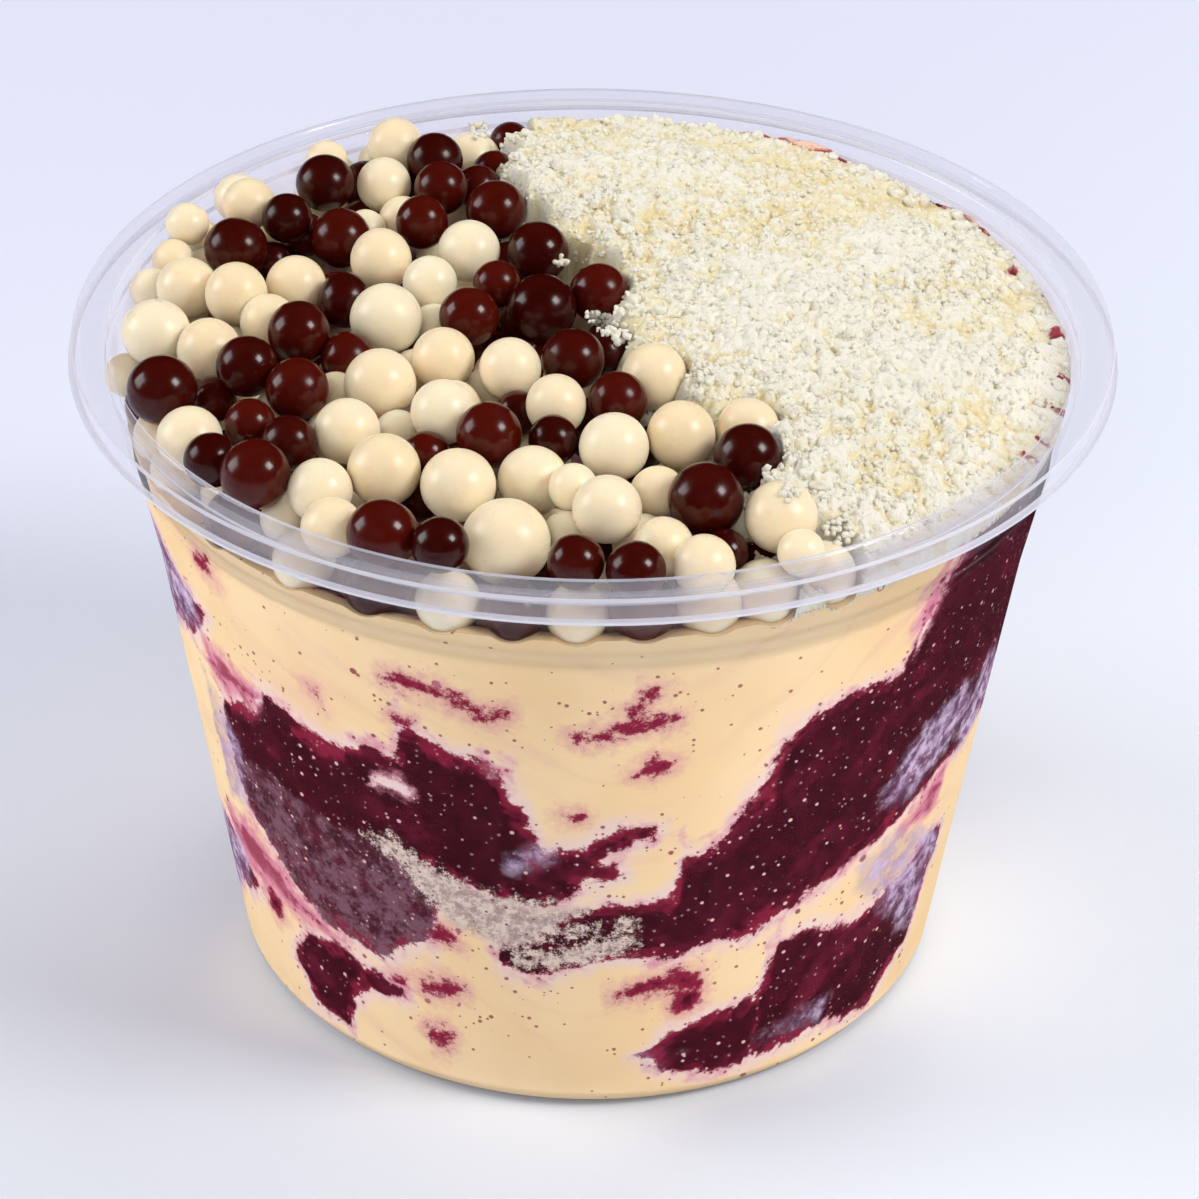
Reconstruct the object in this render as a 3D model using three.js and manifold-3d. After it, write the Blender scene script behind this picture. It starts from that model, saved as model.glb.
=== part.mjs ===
// Cup of acai: a clear round pot filled with acai swirled through cream, heaped on
// the left with small chocolate balls and on the right with milk powder.
// Millimetres, +Z up, origin at the middle of the pot's base, front of the cup at -Y.

import * as THREE from 'three';
import { mergeVertices } from 'three/addons/utils/BufferGeometryUtils.js';
import Module from 'manifold-3d';

const wasm = await Module();
wasm.setup();

// ---- Driving dimensions -------------------------------------------------------

// Pot: thin walls, a flared mouth over a stacking shoulder, a flat rim with a skirt.
const POT_HEIGHT = 76;
const WALL = 0.8;
const BASE_THICKNESS = 1.2;
const BASE_RADIUS = 39;
const BASE_CORNER = 2.5;
const BEND_HEIGHT = 53;
const BEND_RADIUS = 47.1;
const SHOULDER_HEIGHT = 65;
const SHOULDER_RADIUS = 49.6;
const SHOULDER_STEP = 0.6;
const SHOULDER_RISE = 0.9;
const MOUTH_RADIUS = 52.2;
const RIM_THICKNESS = 0.9;
const RIM_INNER_RADIUS = 51.7;
const RIM_RADIUS = 55;
const SKIRT_RADIUS = 55.7;
const SKIRT_DEPTH = 2.8;
const SKIRT_THICKNESS = 0.7;
const RIM_BEAD = 0.25;
const AROUND = 48;

// Clearance that neighbouring pieces keep.
const GAP = 0.3;

// Filling: cream lining the pot, acai in the middle, its top tipped up to the back right.
const CREAM_LINING = 7;
const CREAM_FLOOR = 8;
const FILL_LEVEL = 69.3;
const FILL_TIP = 1.8;
const FILL_TIP_TOWARDS = 53;

// Line between balls and powder, seen from above: turned from +Y, past the middle, wavy.
const DIVIDE_TURN = 21.7;
const DIVIDE_OFFSET = 5.5;
const DIVIDE_WAVE = 1.6;
const DIVIDE_WAVELENGTH = 38;

// Chocolate balls.
const BALL_MIN = 2.8;
const BALL_MAX = 3.9;
const BALL_PITCH = 7.6;
const BALL_JITTER = 0.5;
const BALL_CROWN = 80.2;
const BALL_EDGE = 77.2;
const BALL_SINK = 1.2;
const BALL_BED_DEPTH = 4;
const LOWER_ROW_PITCH = 7.3;
const LOWER_ROW_REACH = 45;
const BALL_SEED = 11;

// Milk powder mound: its edge at the wall is highest at the back. Each size of lump is
// crossed waves of a length and height, turned by some degrees.
const POWDER_CROWN = 78.6;
const POWDER_EDGE = 72.2;
const POWDER_EDGE_TIP = 2.2;
const POWDER_EDGE_TOWARDS = 105;
const POWDER_STEEPNESS = 5;
const POWDER_RINGS = 13;
const LUMPS = [
  { length: 24, height: 0.35, turn: 35 },
  { length: 13, height: 0.3, turn: 80 },
  { length: 8, height: 0.2, turn: 10 },
];

// Acai reaching the wall: each smear is [degrees round from the front, low mm, high mm].
const SMEARS = {
  rightBand: [
    [-6, 23, 26], [0, 22.5, 29], [10, 23.5, 32], [18, 24, 38], [24, 24, 46], [30, 26, 53],
    [40, 28.5, 55], [46, 35, 60], [53, 41, 68], [62, 42, 76], [72, 36, 76], [82, 31, 70],
    [96, 27, 57], [110, 24, 46], [124, 22, 36], [136, 22, 27],
  ],
  leftBand: [
    [-66, 30, 42], [-58, 24, 47], [-48, 20.5, 48], [-38, 19.5, 48], [-29, 21, 49], [-22, 27, 51],
    [-14, 31.5, 49], [-8, 31.5, 43], [-3, 32, 39], [3, 36.5, 41], [9, 39.5, 41],
  ],
  leftFoot: [
    [-52, 6, 8], [-49, 3.6, 14], [-43, 3.6, 15.5], [-37, 9.5, 15], [-28, 13, 15],
  ],
  rightFoot: [
    [9, 7, 9], [15, 5, 12], [25, 4.5, 13.5], [31, 4.5, 20], [42, 5, 19.5], [52, 5, 19],
    [60, 10, 24], [67, 18, 23],
  ],
  leftEdge: [
    [-104, 34, 50], [-90, 40, 57], [-76, 46, 58], [-66, 47, 55], [-60, 51, 54],
  ],
  leftEdgeFoot: [
    [-118, 6, 8], [-108, 4, 13], [-94, 3.6, 16], [-80, 7, 19], [-70, 12, 19], [-61, 15, 17],
  ],
  backClimb: [
    [144, 8, 11], [156, 10, 20], [170, 15, 32], [184, 21, 43], [198, 31, 52], [212, 42, 57],
    [223, 50, 54],
  ],
  backFoot: [
    [110, 7, 9], [122, 4.5, 15], [136, 5, 14], [148, 6, 8.5],
  ],
  backLeft: [
    [212, 13, 16], [226, 15, 28], [240, 21, 39], [254, 30, 47], [266, 38, 52],
  ],
};
const SMEAR_STEP = 7;
const SMEAR_ROOT = 20;
const SMEAR_REACH = 150;
const CORE_AROUND = 16;

// ---- Small helpers -----------------------------------------------------------

const radians = THREE.MathUtils.degToRad;

function randomFrom(seed) {
  let state = seed;
  return () => {
    state = (state * 1664525 + 1013904223) % 4294967296;
    return state / 4294967296;
  };
}

// A geometry as a solid whose faces point out.
function solid(geometry) {
  const bare = geometry.index ? geometry.clone() : geometry;
  bare.deleteAttribute('normal');
  bare.deleteAttribute('uv');
  const merged = mergeVertices(bare, 1e-4);
  const mesh = new wasm.Mesh({
    numProp: 3,
    vertProperties: new Float32Array(merged.attributes.position.array),
    triVerts: new Uint32Array(merged.index.array),
  });
  return new wasm.Manifold(mesh);
}

function geometryOf(body) {
  const mesh = body.getMesh();
  const geometry = new THREE.BufferGeometry();
  geometry.setAttribute('position', new THREE.BufferAttribute(mesh.vertProperties, 3));
  geometry.setIndex(new THREE.BufferAttribute(mesh.triVerts, 1));
  geometry.computeVertexNormals();
  return geometry;
}

// Turns a profile of [radius, height] pairs round the Z axis.
function turned(profile, around = AROUND) {
  const points = profile.map(([radius, height]) => new THREE.Vector2(radius, height));
  return new THREE.LatheGeometry(points, around).rotateX(Math.PI / 2);
}

// Radius of a profile of [radius, height] pairs at a height.
function radiusAt(profile, height) {
  for (let i = 1; i < profile.length; i += 1) {
    const [radiusLow, low] = profile[i - 1];
    const [radiusHigh, high] = profile[i];
    if (height <= high) {
      const share = Math.max(0, (height - low) / (high - low));
      return radiusLow + (radiusHigh - radiusLow) * share;
    }
  }
  return profile[profile.length - 1][0];
}

// ---- Pot ---------------------------------------------------------------------

// Inside face of the pot, from its base corner up to the mouth.
const POT_INSIDE = [
  [BASE_RADIUS - WALL - BASE_CORNER / 2, BASE_THICKNESS],
  [BASE_RADIUS - WALL, BASE_THICKNESS + BASE_CORNER / 2],
  [BEND_RADIUS - WALL, BEND_HEIGHT],
  [SHOULDER_RADIUS - WALL, SHOULDER_HEIGHT + SHOULDER_RISE / 3],
  [SHOULDER_RADIUS + SHOULDER_STEP - WALL, SHOULDER_HEIGHT + SHOULDER_RISE * 1.2],
  [MOUTH_RADIUS - WALL, POT_HEIGHT - RIM_THICKNESS / 2],
];

function potGeometry() {
  const rimUnder = POT_HEIGHT - RIM_THICKNESS;
  const skirtFoot = POT_HEIGHT - SKIRT_DEPTH;
  const cornerMiddle = BASE_CORNER * (1 - Math.SQRT1_2);
  const outside = [
    [0, 0],
    [BASE_RADIUS - BASE_CORNER, 0],
    [BASE_RADIUS - cornerMiddle, cornerMiddle],
    [BASE_RADIUS, BASE_CORNER],
    [BEND_RADIUS, BEND_HEIGHT],
    [SHOULDER_RADIUS, SHOULDER_HEIGHT],
    [SHOULDER_RADIUS + SHOULDER_STEP, SHOULDER_HEIGHT + SHOULDER_RISE],
    [MOUTH_RADIUS, rimUnder],
    [RIM_RADIUS - SKIRT_THICKNESS, rimUnder],
    [SKIRT_RADIUS - SKIRT_THICKNESS, skirtFoot],
    [SKIRT_RADIUS, skirtFoot],
    [RIM_RADIUS + RIM_BEAD / 2, POT_HEIGHT - RIM_BEAD],
    [RIM_RADIUS - RIM_BEAD, POT_HEIGHT],
    [RIM_RADIUS - 3 * RIM_BEAD, POT_HEIGHT - RIM_BEAD],
    [RIM_INNER_RADIUS + RIM_BEAD, POT_HEIGHT - RIM_BEAD],
    [RIM_INNER_RADIUS - RIM_BEAD / 2, POT_HEIGHT],
  ];
  return turned([...outside, ...POT_INSIDE.toReversed(), [0, BASE_THICKNESS]]);
}

// Radius that food may reach at a height, a gap inside the pot.
function foodRadius(height) {
  return radiusAt(POT_INSIDE, height) - GAP;
}

// Radius of the toppings where they meet the wall.
const MOUND_RADIUS = foodRadius(FILL_LEVEL + FILL_TIP);

// ---- Filling -----------------------------------------------------------------

// Everything under the filling's tipped top face, or over it when lifted clear.
function levelBlock(lift, isAbove) {
  const size = 4 * POT_HEIGHT;
  const block = new THREE.BoxGeometry(size, size, size);
  block.translate(0, 0, isAbove ? size / 2 : -size / 2);
  const towards = radians(FILL_TIP_TOWARDS);
  const tip = Math.atan(FILL_TIP / BEND_RADIUS);
  const axis = new THREE.Vector3(Math.sin(towards), -Math.cos(towards), 0);
  block.applyMatrix4(new THREE.Matrix4().makeRotationAxis(axis, tip));
  return solid(block.translate(0, 0, FILL_LEVEL + lift));
}

// The whole filling, cream and acai together.
function fillingSolid() {
  const bottom = BASE_THICKNESS + GAP;
  const wall = POT_INSIDE.slice(1).map(([radius, height]) => [radius - GAP, height]);
  const foot = [POT_INSIDE[0][0] - GAP, bottom];
  const profile = [[0, bottom], foot, ...wall, [0, wall[wall.length - 1][1]]];
  return solid(turned(profile)).intersect(levelBlock(0, false));
}

// A smear as a wedge that widens outwards from the pot's axis, right through the wall.
function smearSolid(smear, grow) {
  const centre = new THREE.CatmullRomCurve3(smear.map((point) => new THREE.Vector3(...point)));
  const span = smear[smear.length - 1][0] - smear[0][0];
  const steps = Math.round(span / SMEAR_STEP);
  const samples = centre.getPoints(steps);
  const growDegrees = THREE.MathUtils.radToDeg(grow / BEND_RADIUS);
  samples[0].x -= growDegrees;
  samples[steps].x += growDegrees;
  const outline = new THREE.Shape([
    ...samples.map((sample) => new THREE.Vector2(sample.x, sample.y - grow)),
    ...samples.toReversed().map((sample) => new THREE.Vector2(sample.x, sample.z + grow)),
  ]);
  const wedge = new THREE.ExtrudeGeometry(outline, { depth: 1, bevelEnabled: false });
  const position = wedge.attributes.position;
  for (let i = 0; i < position.count; i += 1) {
    const angle = radians(position.getX(i));
    const radius = position.getZ(i) > 0.5 ? SMEAR_REACH : SMEAR_ROOT - 2 * grow;
    position.setXYZ(i, radius * Math.sin(angle), -radius * Math.cos(angle), position.getY(i));
  }
  return solid(wedge);
}

// Acai core and smears, grown by a clearance where the cream is cut round them.
function acaiSolid(grow) {
  const inset = CREAM_LINING - grow;
  const footRadius = radiusAt(POT_INSIDE, CREAM_FLOOR) - inset;
  const topRadius = radiusAt(POT_INSIDE, POT_HEIGHT) - inset;
  const bottom = CREAM_FLOOR - grow;
  const core = [[0, bottom], [footRadius, bottom], [topRadius, POT_HEIGHT], [0, POT_HEIGHT]];
  return Object.values(SMEARS)
    .map((smear) => smearSolid(smear, grow))
    .reduce((body, smear) => body.add(smear), solid(turned(core, CORE_AROUND)));
}

// ---- Toppings ----------------------------------------------------------------

function divideWave(along) {
  return DIVIDE_WAVE * Math.sin((2 * Math.PI * along) / DIVIDE_WAVELENGTH);
}

// How far a point lies past the line between balls (negative) and powder (positive).
function pastDivide(x, y) {
  const turn = radians(DIVIDE_TURN);
  const across = x * Math.cos(turn) + y * Math.sin(turn);
  const along = y * Math.cos(turn) - x * Math.sin(turn);
  return across - DIVIDE_OFFSET - divideWave(along);
}

// Block on one side of that line, moved off it by a clearance.
function sideBlock(side, clearance) {
  const reach = 2 * BEND_RADIUS;
  const steps = 24;
  const edge = [];
  for (let i = 0; i <= steps; i += 1) {
    const along = reach * ((2 * i) / steps - 1);
    edge.push(new THREE.Vector2(DIVIDE_OFFSET + divideWave(along) + side * clearance, along));
  }
  const far = side * 2 * reach;
  const outline = [...edge, new THREE.Vector2(far, reach), new THREE.Vector2(far, -reach)];
  const depth = 2 * POT_HEIGHT;
  const block = new THREE.ExtrudeGeometry(new THREE.Shape(outline), { depth, bevelEnabled: false });
  return solid(block.rotateZ(radians(DIVIDE_TURN)));
}

// Soft irregular lumps, all the sizes added up.
function lumpHeight(x, y) {
  return LUMPS.reduce((sum, { length, height, turn }) => {
    const angle = radians(turn);
    const along = x * Math.cos(angle) + y * Math.sin(angle);
    const across = y * Math.cos(angle) - x * Math.sin(angle);
    const turns = (2 * Math.PI) / length;
    return sum + height * Math.sin(turns * along) * Math.cos(turns * across);
  }, 0);
}

// Dome that fills the pot's mouth: top(x, y) over a flat underside below the filling's top.
function domeSolid(top, edgeInset, rings) {
  const bottom = SHOULDER_HEIGHT - WALL;
  const edge = MOUND_RADIUS - edgeInset;
  const profile = [[0, bottom], [foodRadius(bottom) - edgeInset, bottom]];
  for (let ring = 0; ring <= rings; ring += 1) {
    profile.push([edge * (1 - ring / rings), POT_HEIGHT]);
  }
  const geometry = turned(profile);
  const position = geometry.attributes.position;
  for (let i = 0; i < position.count; i += 1) {
    if (position.getZ(i) > FILL_LEVEL) {
      position.setZ(i, top(position.getX(i), position.getY(i)));
    }
  }
  return solid(geometry);
}

// Height of a mound that falls from its crown to its edge at the wall.
function moundHeight(x, y, crown, edge, steepness) {
  return crown - (crown - edge) * (Math.hypot(x, y) / MOUND_RADIUS) ** steepness;
}

function powderTop(x, y) {
  const bearing = Math.atan2(y, x) - radians(POWDER_EDGE_TOWARDS);
  const edge = POWDER_EDGE + POWDER_EDGE_TIP * Math.cos(bearing);
  return moundHeight(x, y, POWDER_CROWN, edge, POWDER_STEEPNESS) + lumpHeight(x, y);
}

function powderSolid() {
  return domeSolid(powderTop, GAP, POWDER_RINGS)
    .intersect(sideBlock(1, GAP / 2))
    .intersect(levelBlock(GAP, true));
}

function ballTop(x, y) {
  return moundHeight(x, y, BALL_CROWN, BALL_EDGE, 2);
}

// Places of the balls: staggered rows over the heap, then a lower row that shows
// through the front of the wall.
function ballPlaces() {
  const random = randomFrom(BALL_SEED);
  const jitter = () => BALL_JITTER * (2 * random() - 1);
  const places = [];
  const keep = (x, y, z, radius) => {
    const isInPot = Math.hypot(x, y) + radius < foodRadius(z) - GAP / 2;
    const isLeft = pastDivide(x, y) + radius < -GAP;
    if (isInPot && isLeft) {
      places.push({ x, y, z, radius });
    }
  };
  const rowStep = BALL_PITCH * Math.sqrt(0.75);
  const rows = Math.ceil(MOUTH_RADIUS / rowStep);
  for (let row = -rows; row <= rows; row += 1) {
    for (let column = -rows; column <= rows; column += 1) {
      const x = BALL_PITCH * (column + (row % 2 ? 0.5 : 0)) + jitter();
      const y = rowStep * row + jitter();
      const radius = BALL_MIN + (BALL_MAX - BALL_MIN) * random();
      keep(x, y, ballTop(x, y) - radius - BALL_SINK * random(), radius);
    }
  }
  const lowRadius = (BALL_MIN + BALL_MAX) / 2;
  const lowHeight = FILL_LEVEL - FILL_TIP + GAP + lowRadius;
  const out = foodRadius(lowHeight) - lowRadius - GAP;
  const step = LOWER_ROW_PITCH / out;
  for (let angle = -radians(LOWER_ROW_REACH); angle < radians(LOWER_ROW_REACH); angle += step) {
    keep(out * Math.sin(angle), -out * Math.cos(angle), lowHeight, lowRadius);
  }
  return places;
}

function ballSolid({ x, y, z, radius }) {
  const tilt = radians(7 * x + 13 * y);
  const ball = new THREE.DodecahedronGeometry(radius).rotateX(tilt).rotateY(tilt);
  return solid(ball.translate(x, y, z));
}

function ballHeapSolid() {
  const bedTop = (x, y) => ballTop(x, y) - BALL_BED_DEPTH;
  const bed = domeSolid(bedTop, BALL_MAX, 2).intersect(sideBlock(-1, GAP / 2));
  return ballPlaces()
    .map(ballSolid)
    .reduce((heap, ball) => heap.add(ball), bed)
    .intersect(levelBlock(GAP, true));
}

// ---- The cup of acai ---------------------------------------------------------

function piece(name, geometry, color, roughness) {
  const material = new THREE.MeshStandardMaterial({ color, roughness, metalness: 0 });
  const mesh = new THREE.Mesh(geometry, material);
  mesh.name = name;
  return mesh;
}

const filling = fillingSolid();
const clearPlastic = piece('cup', potGeometry(), 0xe6e8f2, 0.15);
clearPlastic.material.transparent = true;
clearPlastic.material.opacity = 0.35;

const cupOfAcai = new THREE.Group();
cupOfAcai.add(
  clearPlastic,
  piece('acai', geometryOf(filling.intersect(acaiSolid(0))), 0x4a1023, 0.45),
  piece('cream', geometryOf(filling.subtract(acaiSolid(GAP))), 0xf0d3a4, 0.4),
  piece('chocolate_balls', geometryOf(ballHeapSolid()), 0x4a1a12, 0.25),
  piece('milk_powder', geometryOf(powderSolid()), 0xf3ebc4, 0.95),
);

export default cupOfAcai;
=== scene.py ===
"""Looks of a cup of acai: a clear pot of acai and cream, heaped with chocolate balls and milk powder.

Lengths are millimetres until a mesh is made. +Z is up and the cup's front is towards -Y. Bearings round the
pot are degrees from the front, positive to the right.
"""

import math
from types import SimpleNamespace

import bmesh
import bpy
import numpy as np
from mathutils import Matrix, Vector, noise


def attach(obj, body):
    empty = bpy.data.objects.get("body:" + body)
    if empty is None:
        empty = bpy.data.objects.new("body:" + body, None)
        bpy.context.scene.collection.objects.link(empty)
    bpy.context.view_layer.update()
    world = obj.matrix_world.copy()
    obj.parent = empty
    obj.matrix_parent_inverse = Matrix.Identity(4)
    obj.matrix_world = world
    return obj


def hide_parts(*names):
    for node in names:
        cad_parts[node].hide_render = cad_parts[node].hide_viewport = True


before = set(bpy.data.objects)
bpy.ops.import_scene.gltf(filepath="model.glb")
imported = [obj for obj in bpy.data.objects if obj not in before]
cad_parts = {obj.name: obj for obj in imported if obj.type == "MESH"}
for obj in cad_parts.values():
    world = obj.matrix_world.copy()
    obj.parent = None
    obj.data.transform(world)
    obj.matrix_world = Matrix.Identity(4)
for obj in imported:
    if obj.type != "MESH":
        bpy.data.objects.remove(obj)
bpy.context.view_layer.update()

MM = 0.001
SEED = 20

# ---- Pot ---------------------------------------------------------------------------------------

POT_HEIGHT = 76.0
SKIRT_RADIUS = 55.7
RIM_FOOT = 73.2
ROUND_THE_POT = 256
# [radius, height, fillet radius] of each corner.
POT_OUTSIDE = [
    (0.0, 0.0, 0.0), (38.75, 0.0, 2.2), (47.1, 53.0, 30.0), (49.6, 65.0, 0.35), (50.2, 65.9, 0.35),
    (52.15, 75.1, 0.5), (54.35, 75.1, 0.3), (55.0, RIM_FOOT, 0.12), (SKIRT_RADIUS, RIM_FOOT, 0.12),
    (55.2, POT_HEIGHT, 0.45), (54.5, POT_HEIGHT, 0.25), (54.25, 75.72, 0.2), (52.0, 75.72, 0.2),
    (51.8, POT_HEIGHT, 0.2), (51.48, POT_HEIGHT, 0.2),
]
POT_INSIDE = [
    (0.0, 1.2, 0.0), (37.9, 1.2, 1.6), (46.3, 53.0, 30.0), (48.8, 65.3, 0.35), (49.4, 66.1, 0.35),
]
INSIDE_MOUTH = (51.4, 75.55)


def filleted(corners, steps=6):
    """Points of an open outline of [x, y, fillet radius] corners, each corner rounded by an arc."""
    points = []
    for i, (x, y, radius) in enumerate(corners):
        here = Vector((x, y))
        if radius == 0 or i in (0, len(corners) - 1):
            points.append((x, y))
            continue
        before = Vector(corners[i - 1][:2]) - here
        after = Vector(corners[i + 1][:2]) - here
        half = before.angle(after) / 2
        reach = min(radius / math.tan(half), 0.48 * before.length, 0.48 * after.length)
        start = here + before.normalized() * reach
        end = here + after.normalized() * reach
        for step in range(steps + 1):
            share = step / steps
            points.append(tuple(start.lerp(here, share).lerp(here.lerp(end, share), share)))
    return points


def inside_radius(height):
    """Radius of the pot's inside face at a height."""
    corners = POT_INSIDE[1:] + [(*INSIDE_MOUTH, 0)]
    return np.interp(height, [c[1] for c in corners], [c[0] for c in corners])


# ---- Line between the toppings -----------------------------------------------------------------

MOUND_RADIUS = 50.2
DIVIDE_TURN = math.radians(21.7)
DIVIDE_OFFSET = 5.5
DIVIDE_WAVE = 1.6
DIVIDE_WAVELENGTH = 38.0


def past_divide(x, y):
    """How far a point lies past the line between balls (negative) and powder (positive)."""
    across = x * math.cos(DIVIDE_TURN) + y * math.sin(DIVIDE_TURN)
    along = y * math.cos(DIVIDE_TURN) - x * math.sin(DIVIDE_TURN)
    return across - DIVIDE_OFFSET - DIVIDE_WAVE * np.sin(2 * math.pi * along / DIVIDE_WAVELENGTH)


# ---- The photograph's view ---------------------------------------------------------------------

PHOTO_SIDE = 1199
FOCAL_PIXELS = 4652.5
EYE_DISTANCE = 495.0
EYE_ELEVATION = math.radians(29.15)
RIM_CENTRE_PIXEL = (593.5, 319.4)
CAMERA_ROLL = 0.0112
SENSOR_WIDTH = 36.0


def camera_place():
    """The eye, and the camera's right, down and forward directions."""
    rim_centre = np.array([0.0, 0.0, POT_HEIGHT])
    back = np.array([0.0, -math.cos(EYE_ELEVATION), math.sin(EYE_ELEVATION)])
    right = np.array([1.0, 0.0, 0.0])
    looking = np.stack([right, np.cross(-back, right), -back])
    across, down = (pixel - PHOTO_SIDE / 2 for pixel in RIM_CENTRE_PIXEL)
    cos_roll, sin_roll = math.cos(CAMERA_ROLL), math.sin(CAMERA_ROLL)
    aim = Vector((cos_roll * across + sin_roll * down, cos_roll * down - sin_roll * across, FOCAL_PIXELS))
    aim.normalize()
    yaw = Matrix.Rotation(math.atan2(aim.x, aim.z), 3, "Y")
    pitch = Matrix.Rotation(-math.asin(aim.y), 3, "X")
    roll = Matrix.Rotation(CAMERA_ROLL, 3, "Z")
    axes = np.array(roll @ yaw @ pitch) @ looking
    return rim_centre + EYE_DISTANCE * back, axes


EYE, CAMERA_AXES = camera_place()


def sight_line(pixel_x, pixel_y):
    """Direction from the eye through a pixel of the photograph."""
    ahead = np.array([pixel_x - PHOTO_SIDE / 2, pixel_y - PHOTO_SIDE / 2, FOCAL_PIXELS]) @ CAMERA_AXES
    return ahead / np.linalg.norm(ahead)


def make_camera():
    """The camera that took the photograph."""
    data = bpy.data.cameras.new("camera")
    data.sensor_width = SENSOR_WIDTH
    data.lens = FOCAL_PIXELS * SENSOR_WIDTH / PHOTO_SIDE
    data.clip_start, data.clip_end = 0.01, 100
    camera = bpy.data.objects.new("camera", data)
    right, down, forward = CAMERA_AXES
    turn = Matrix(np.stack([right, -down, -forward], axis=1).tolist()).to_4x4()
    camera.matrix_world = Matrix.Translation(Vector(EYE * MM)) @ turn
    bpy.context.scene.collection.objects.link(camera)
    bpy.context.scene.camera = camera


# ---- Shaders -----------------------------------------------------------------------------------

class Shader:
    """A node material that is built from the top down. Sockets take numbers, colours or other sockets."""

    def __init__(self, name):
        self.material = bpy.data.materials.new(name)
        self.material.use_nodes = True
        self.tree = self.material.node_tree
        self.tree.nodes.clear()
        self.output = self.add("ShaderNodeOutputMaterial")

    def add(self, kind, settings=None, **inputs):
        node = self.tree.nodes.new(kind)
        for key, value in (settings or {}).items():
            setattr(node, key, value)
        for key, value in inputs.items():
            self.feed(node.inputs[key.replace("_", " ")], value)
        return node

    def feed(self, socket, value):
        if isinstance(value, bpy.types.NodeSocket):
            self.tree.links.new(value, socket)
        elif socket.type == "RGBA":
            socket.default_value = (*value, 1)
        else:
            socket.default_value = value

    def math(self, operation, *values, clamp=False):
        node = self.add("ShaderNodeMath", {"operation": operation, "use_clamp": clamp})
        for socket, value in zip(node.inputs, values):
            self.feed(socket, value)
        return node.outputs[0]

    def times(self, value, other):
        return self.math("MULTIPLY", value, other)

    def larger(self, value, other):
        return self.math("MAXIMUM", value, other)

    def moved(self, value, *moves):
        """The value plus each of the others times its amount."""
        for other, amount in moves:
            value = self.math("MULTIPLY_ADD", other, amount, value)
        return value

    def even(self, noise):
        """Noise from 0 to 1 as noise from -0.5 to 0.5."""
        return self.math("SUBTRACT", noise, 0.5)

    def mix(self, share, low, high):
        """A mix of two colours."""
        node = self.add("ShaderNodeMix", {"data_type": "RGBA"})
        for socket, value in zip((node.inputs[0], node.inputs[6], node.inputs[7]), (share, low, high)):
            self.feed(socket, value)
        return node.outputs[2]

    def span(self, value, low, high, to_low=0.0, to_high=1.0):
        """The value's place between low and high, smoothed, as a number from to_low to to_high."""
        node = self.add("ShaderNodeMapRange", {"interpolation_type": "SMOOTHSTEP"})
        for socket, number in zip(node.inputs, (value, low, high, to_low, to_high)):
            self.feed(socket, number)
        return node.outputs[0]

    def place(self):
        """The point's place in millimetres."""
        here = self.add("ShaderNodeTexCoord").outputs["Object"]
        return self.add("ShaderNodeVectorMath", {"operation": "SCALE"}, Vector=here, Scale=1 / MM).outputs[0]

    def noise(self, place, size, detail=3.0, roughness=0.5, distortion=0.0):
        """Cloudy noise from 0 to 1, whose largest clouds are about that size."""
        node = self.add("ShaderNodeTexNoise", Vector=place, Scale=1 / size, Detail=detail,
                        Roughness=roughness, Distortion=distortion)
        return node.outputs[0]

    def cells(self, place, size):
        """Scattered points: the distance to the nearest, as a share of size, and a random number for it."""
        node = self.add("ShaderNodeTexVoronoi", Vector=place, Scale=1 / size)
        chance = self.add("ShaderNodeSeparateColor", Color=node.outputs["Color"])
        return node.outputs["Distance"], chance.outputs[0]

    def dots(self, place, size, radius, share):
        """Round dots of random radius, on a share of the scattered points. Both may be sockets."""
        distance, chance = self.cells(place, size)
        room = self.math("SUBTRACT", share, chance)
        grown = self.times(self.math("DIVIDE", room, share, clamp=True), radius)
        return self.span(self.math("SUBTRACT", grown, distance), -0.04, 0.04)

    def attribute(self, name):
        return self.add("ShaderNodeAttribute", {"attribute_name": name}).outputs["Fac"]

    def bump(self, height, distance):
        """A normal for relief of height 0 to 1 times a distance in millimetres."""
        return self.add("ShaderNodeBump", Height=height, Distance=distance * MM, Strength=1.0).outputs[0]

    def blend(self, share, first, second):
        """A mix of two shaders."""
        node = self.add("ShaderNodeMixShader", Fac=share)
        self.tree.links.new(first.outputs[0], node.inputs[1])
        self.tree.links.new(second.outputs[0], node.inputs[2])
        return node

    def surface(self, **inputs):
        """Ends the material in one Principled shader."""
        shader = self.add("ShaderNodeBsdfPrincipled", **inputs)
        self.tree.links.new(shader.outputs[0], self.output.inputs[0])
        return self.material


# ---- Meshes ------------------------------------------------------------------------------------

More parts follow.
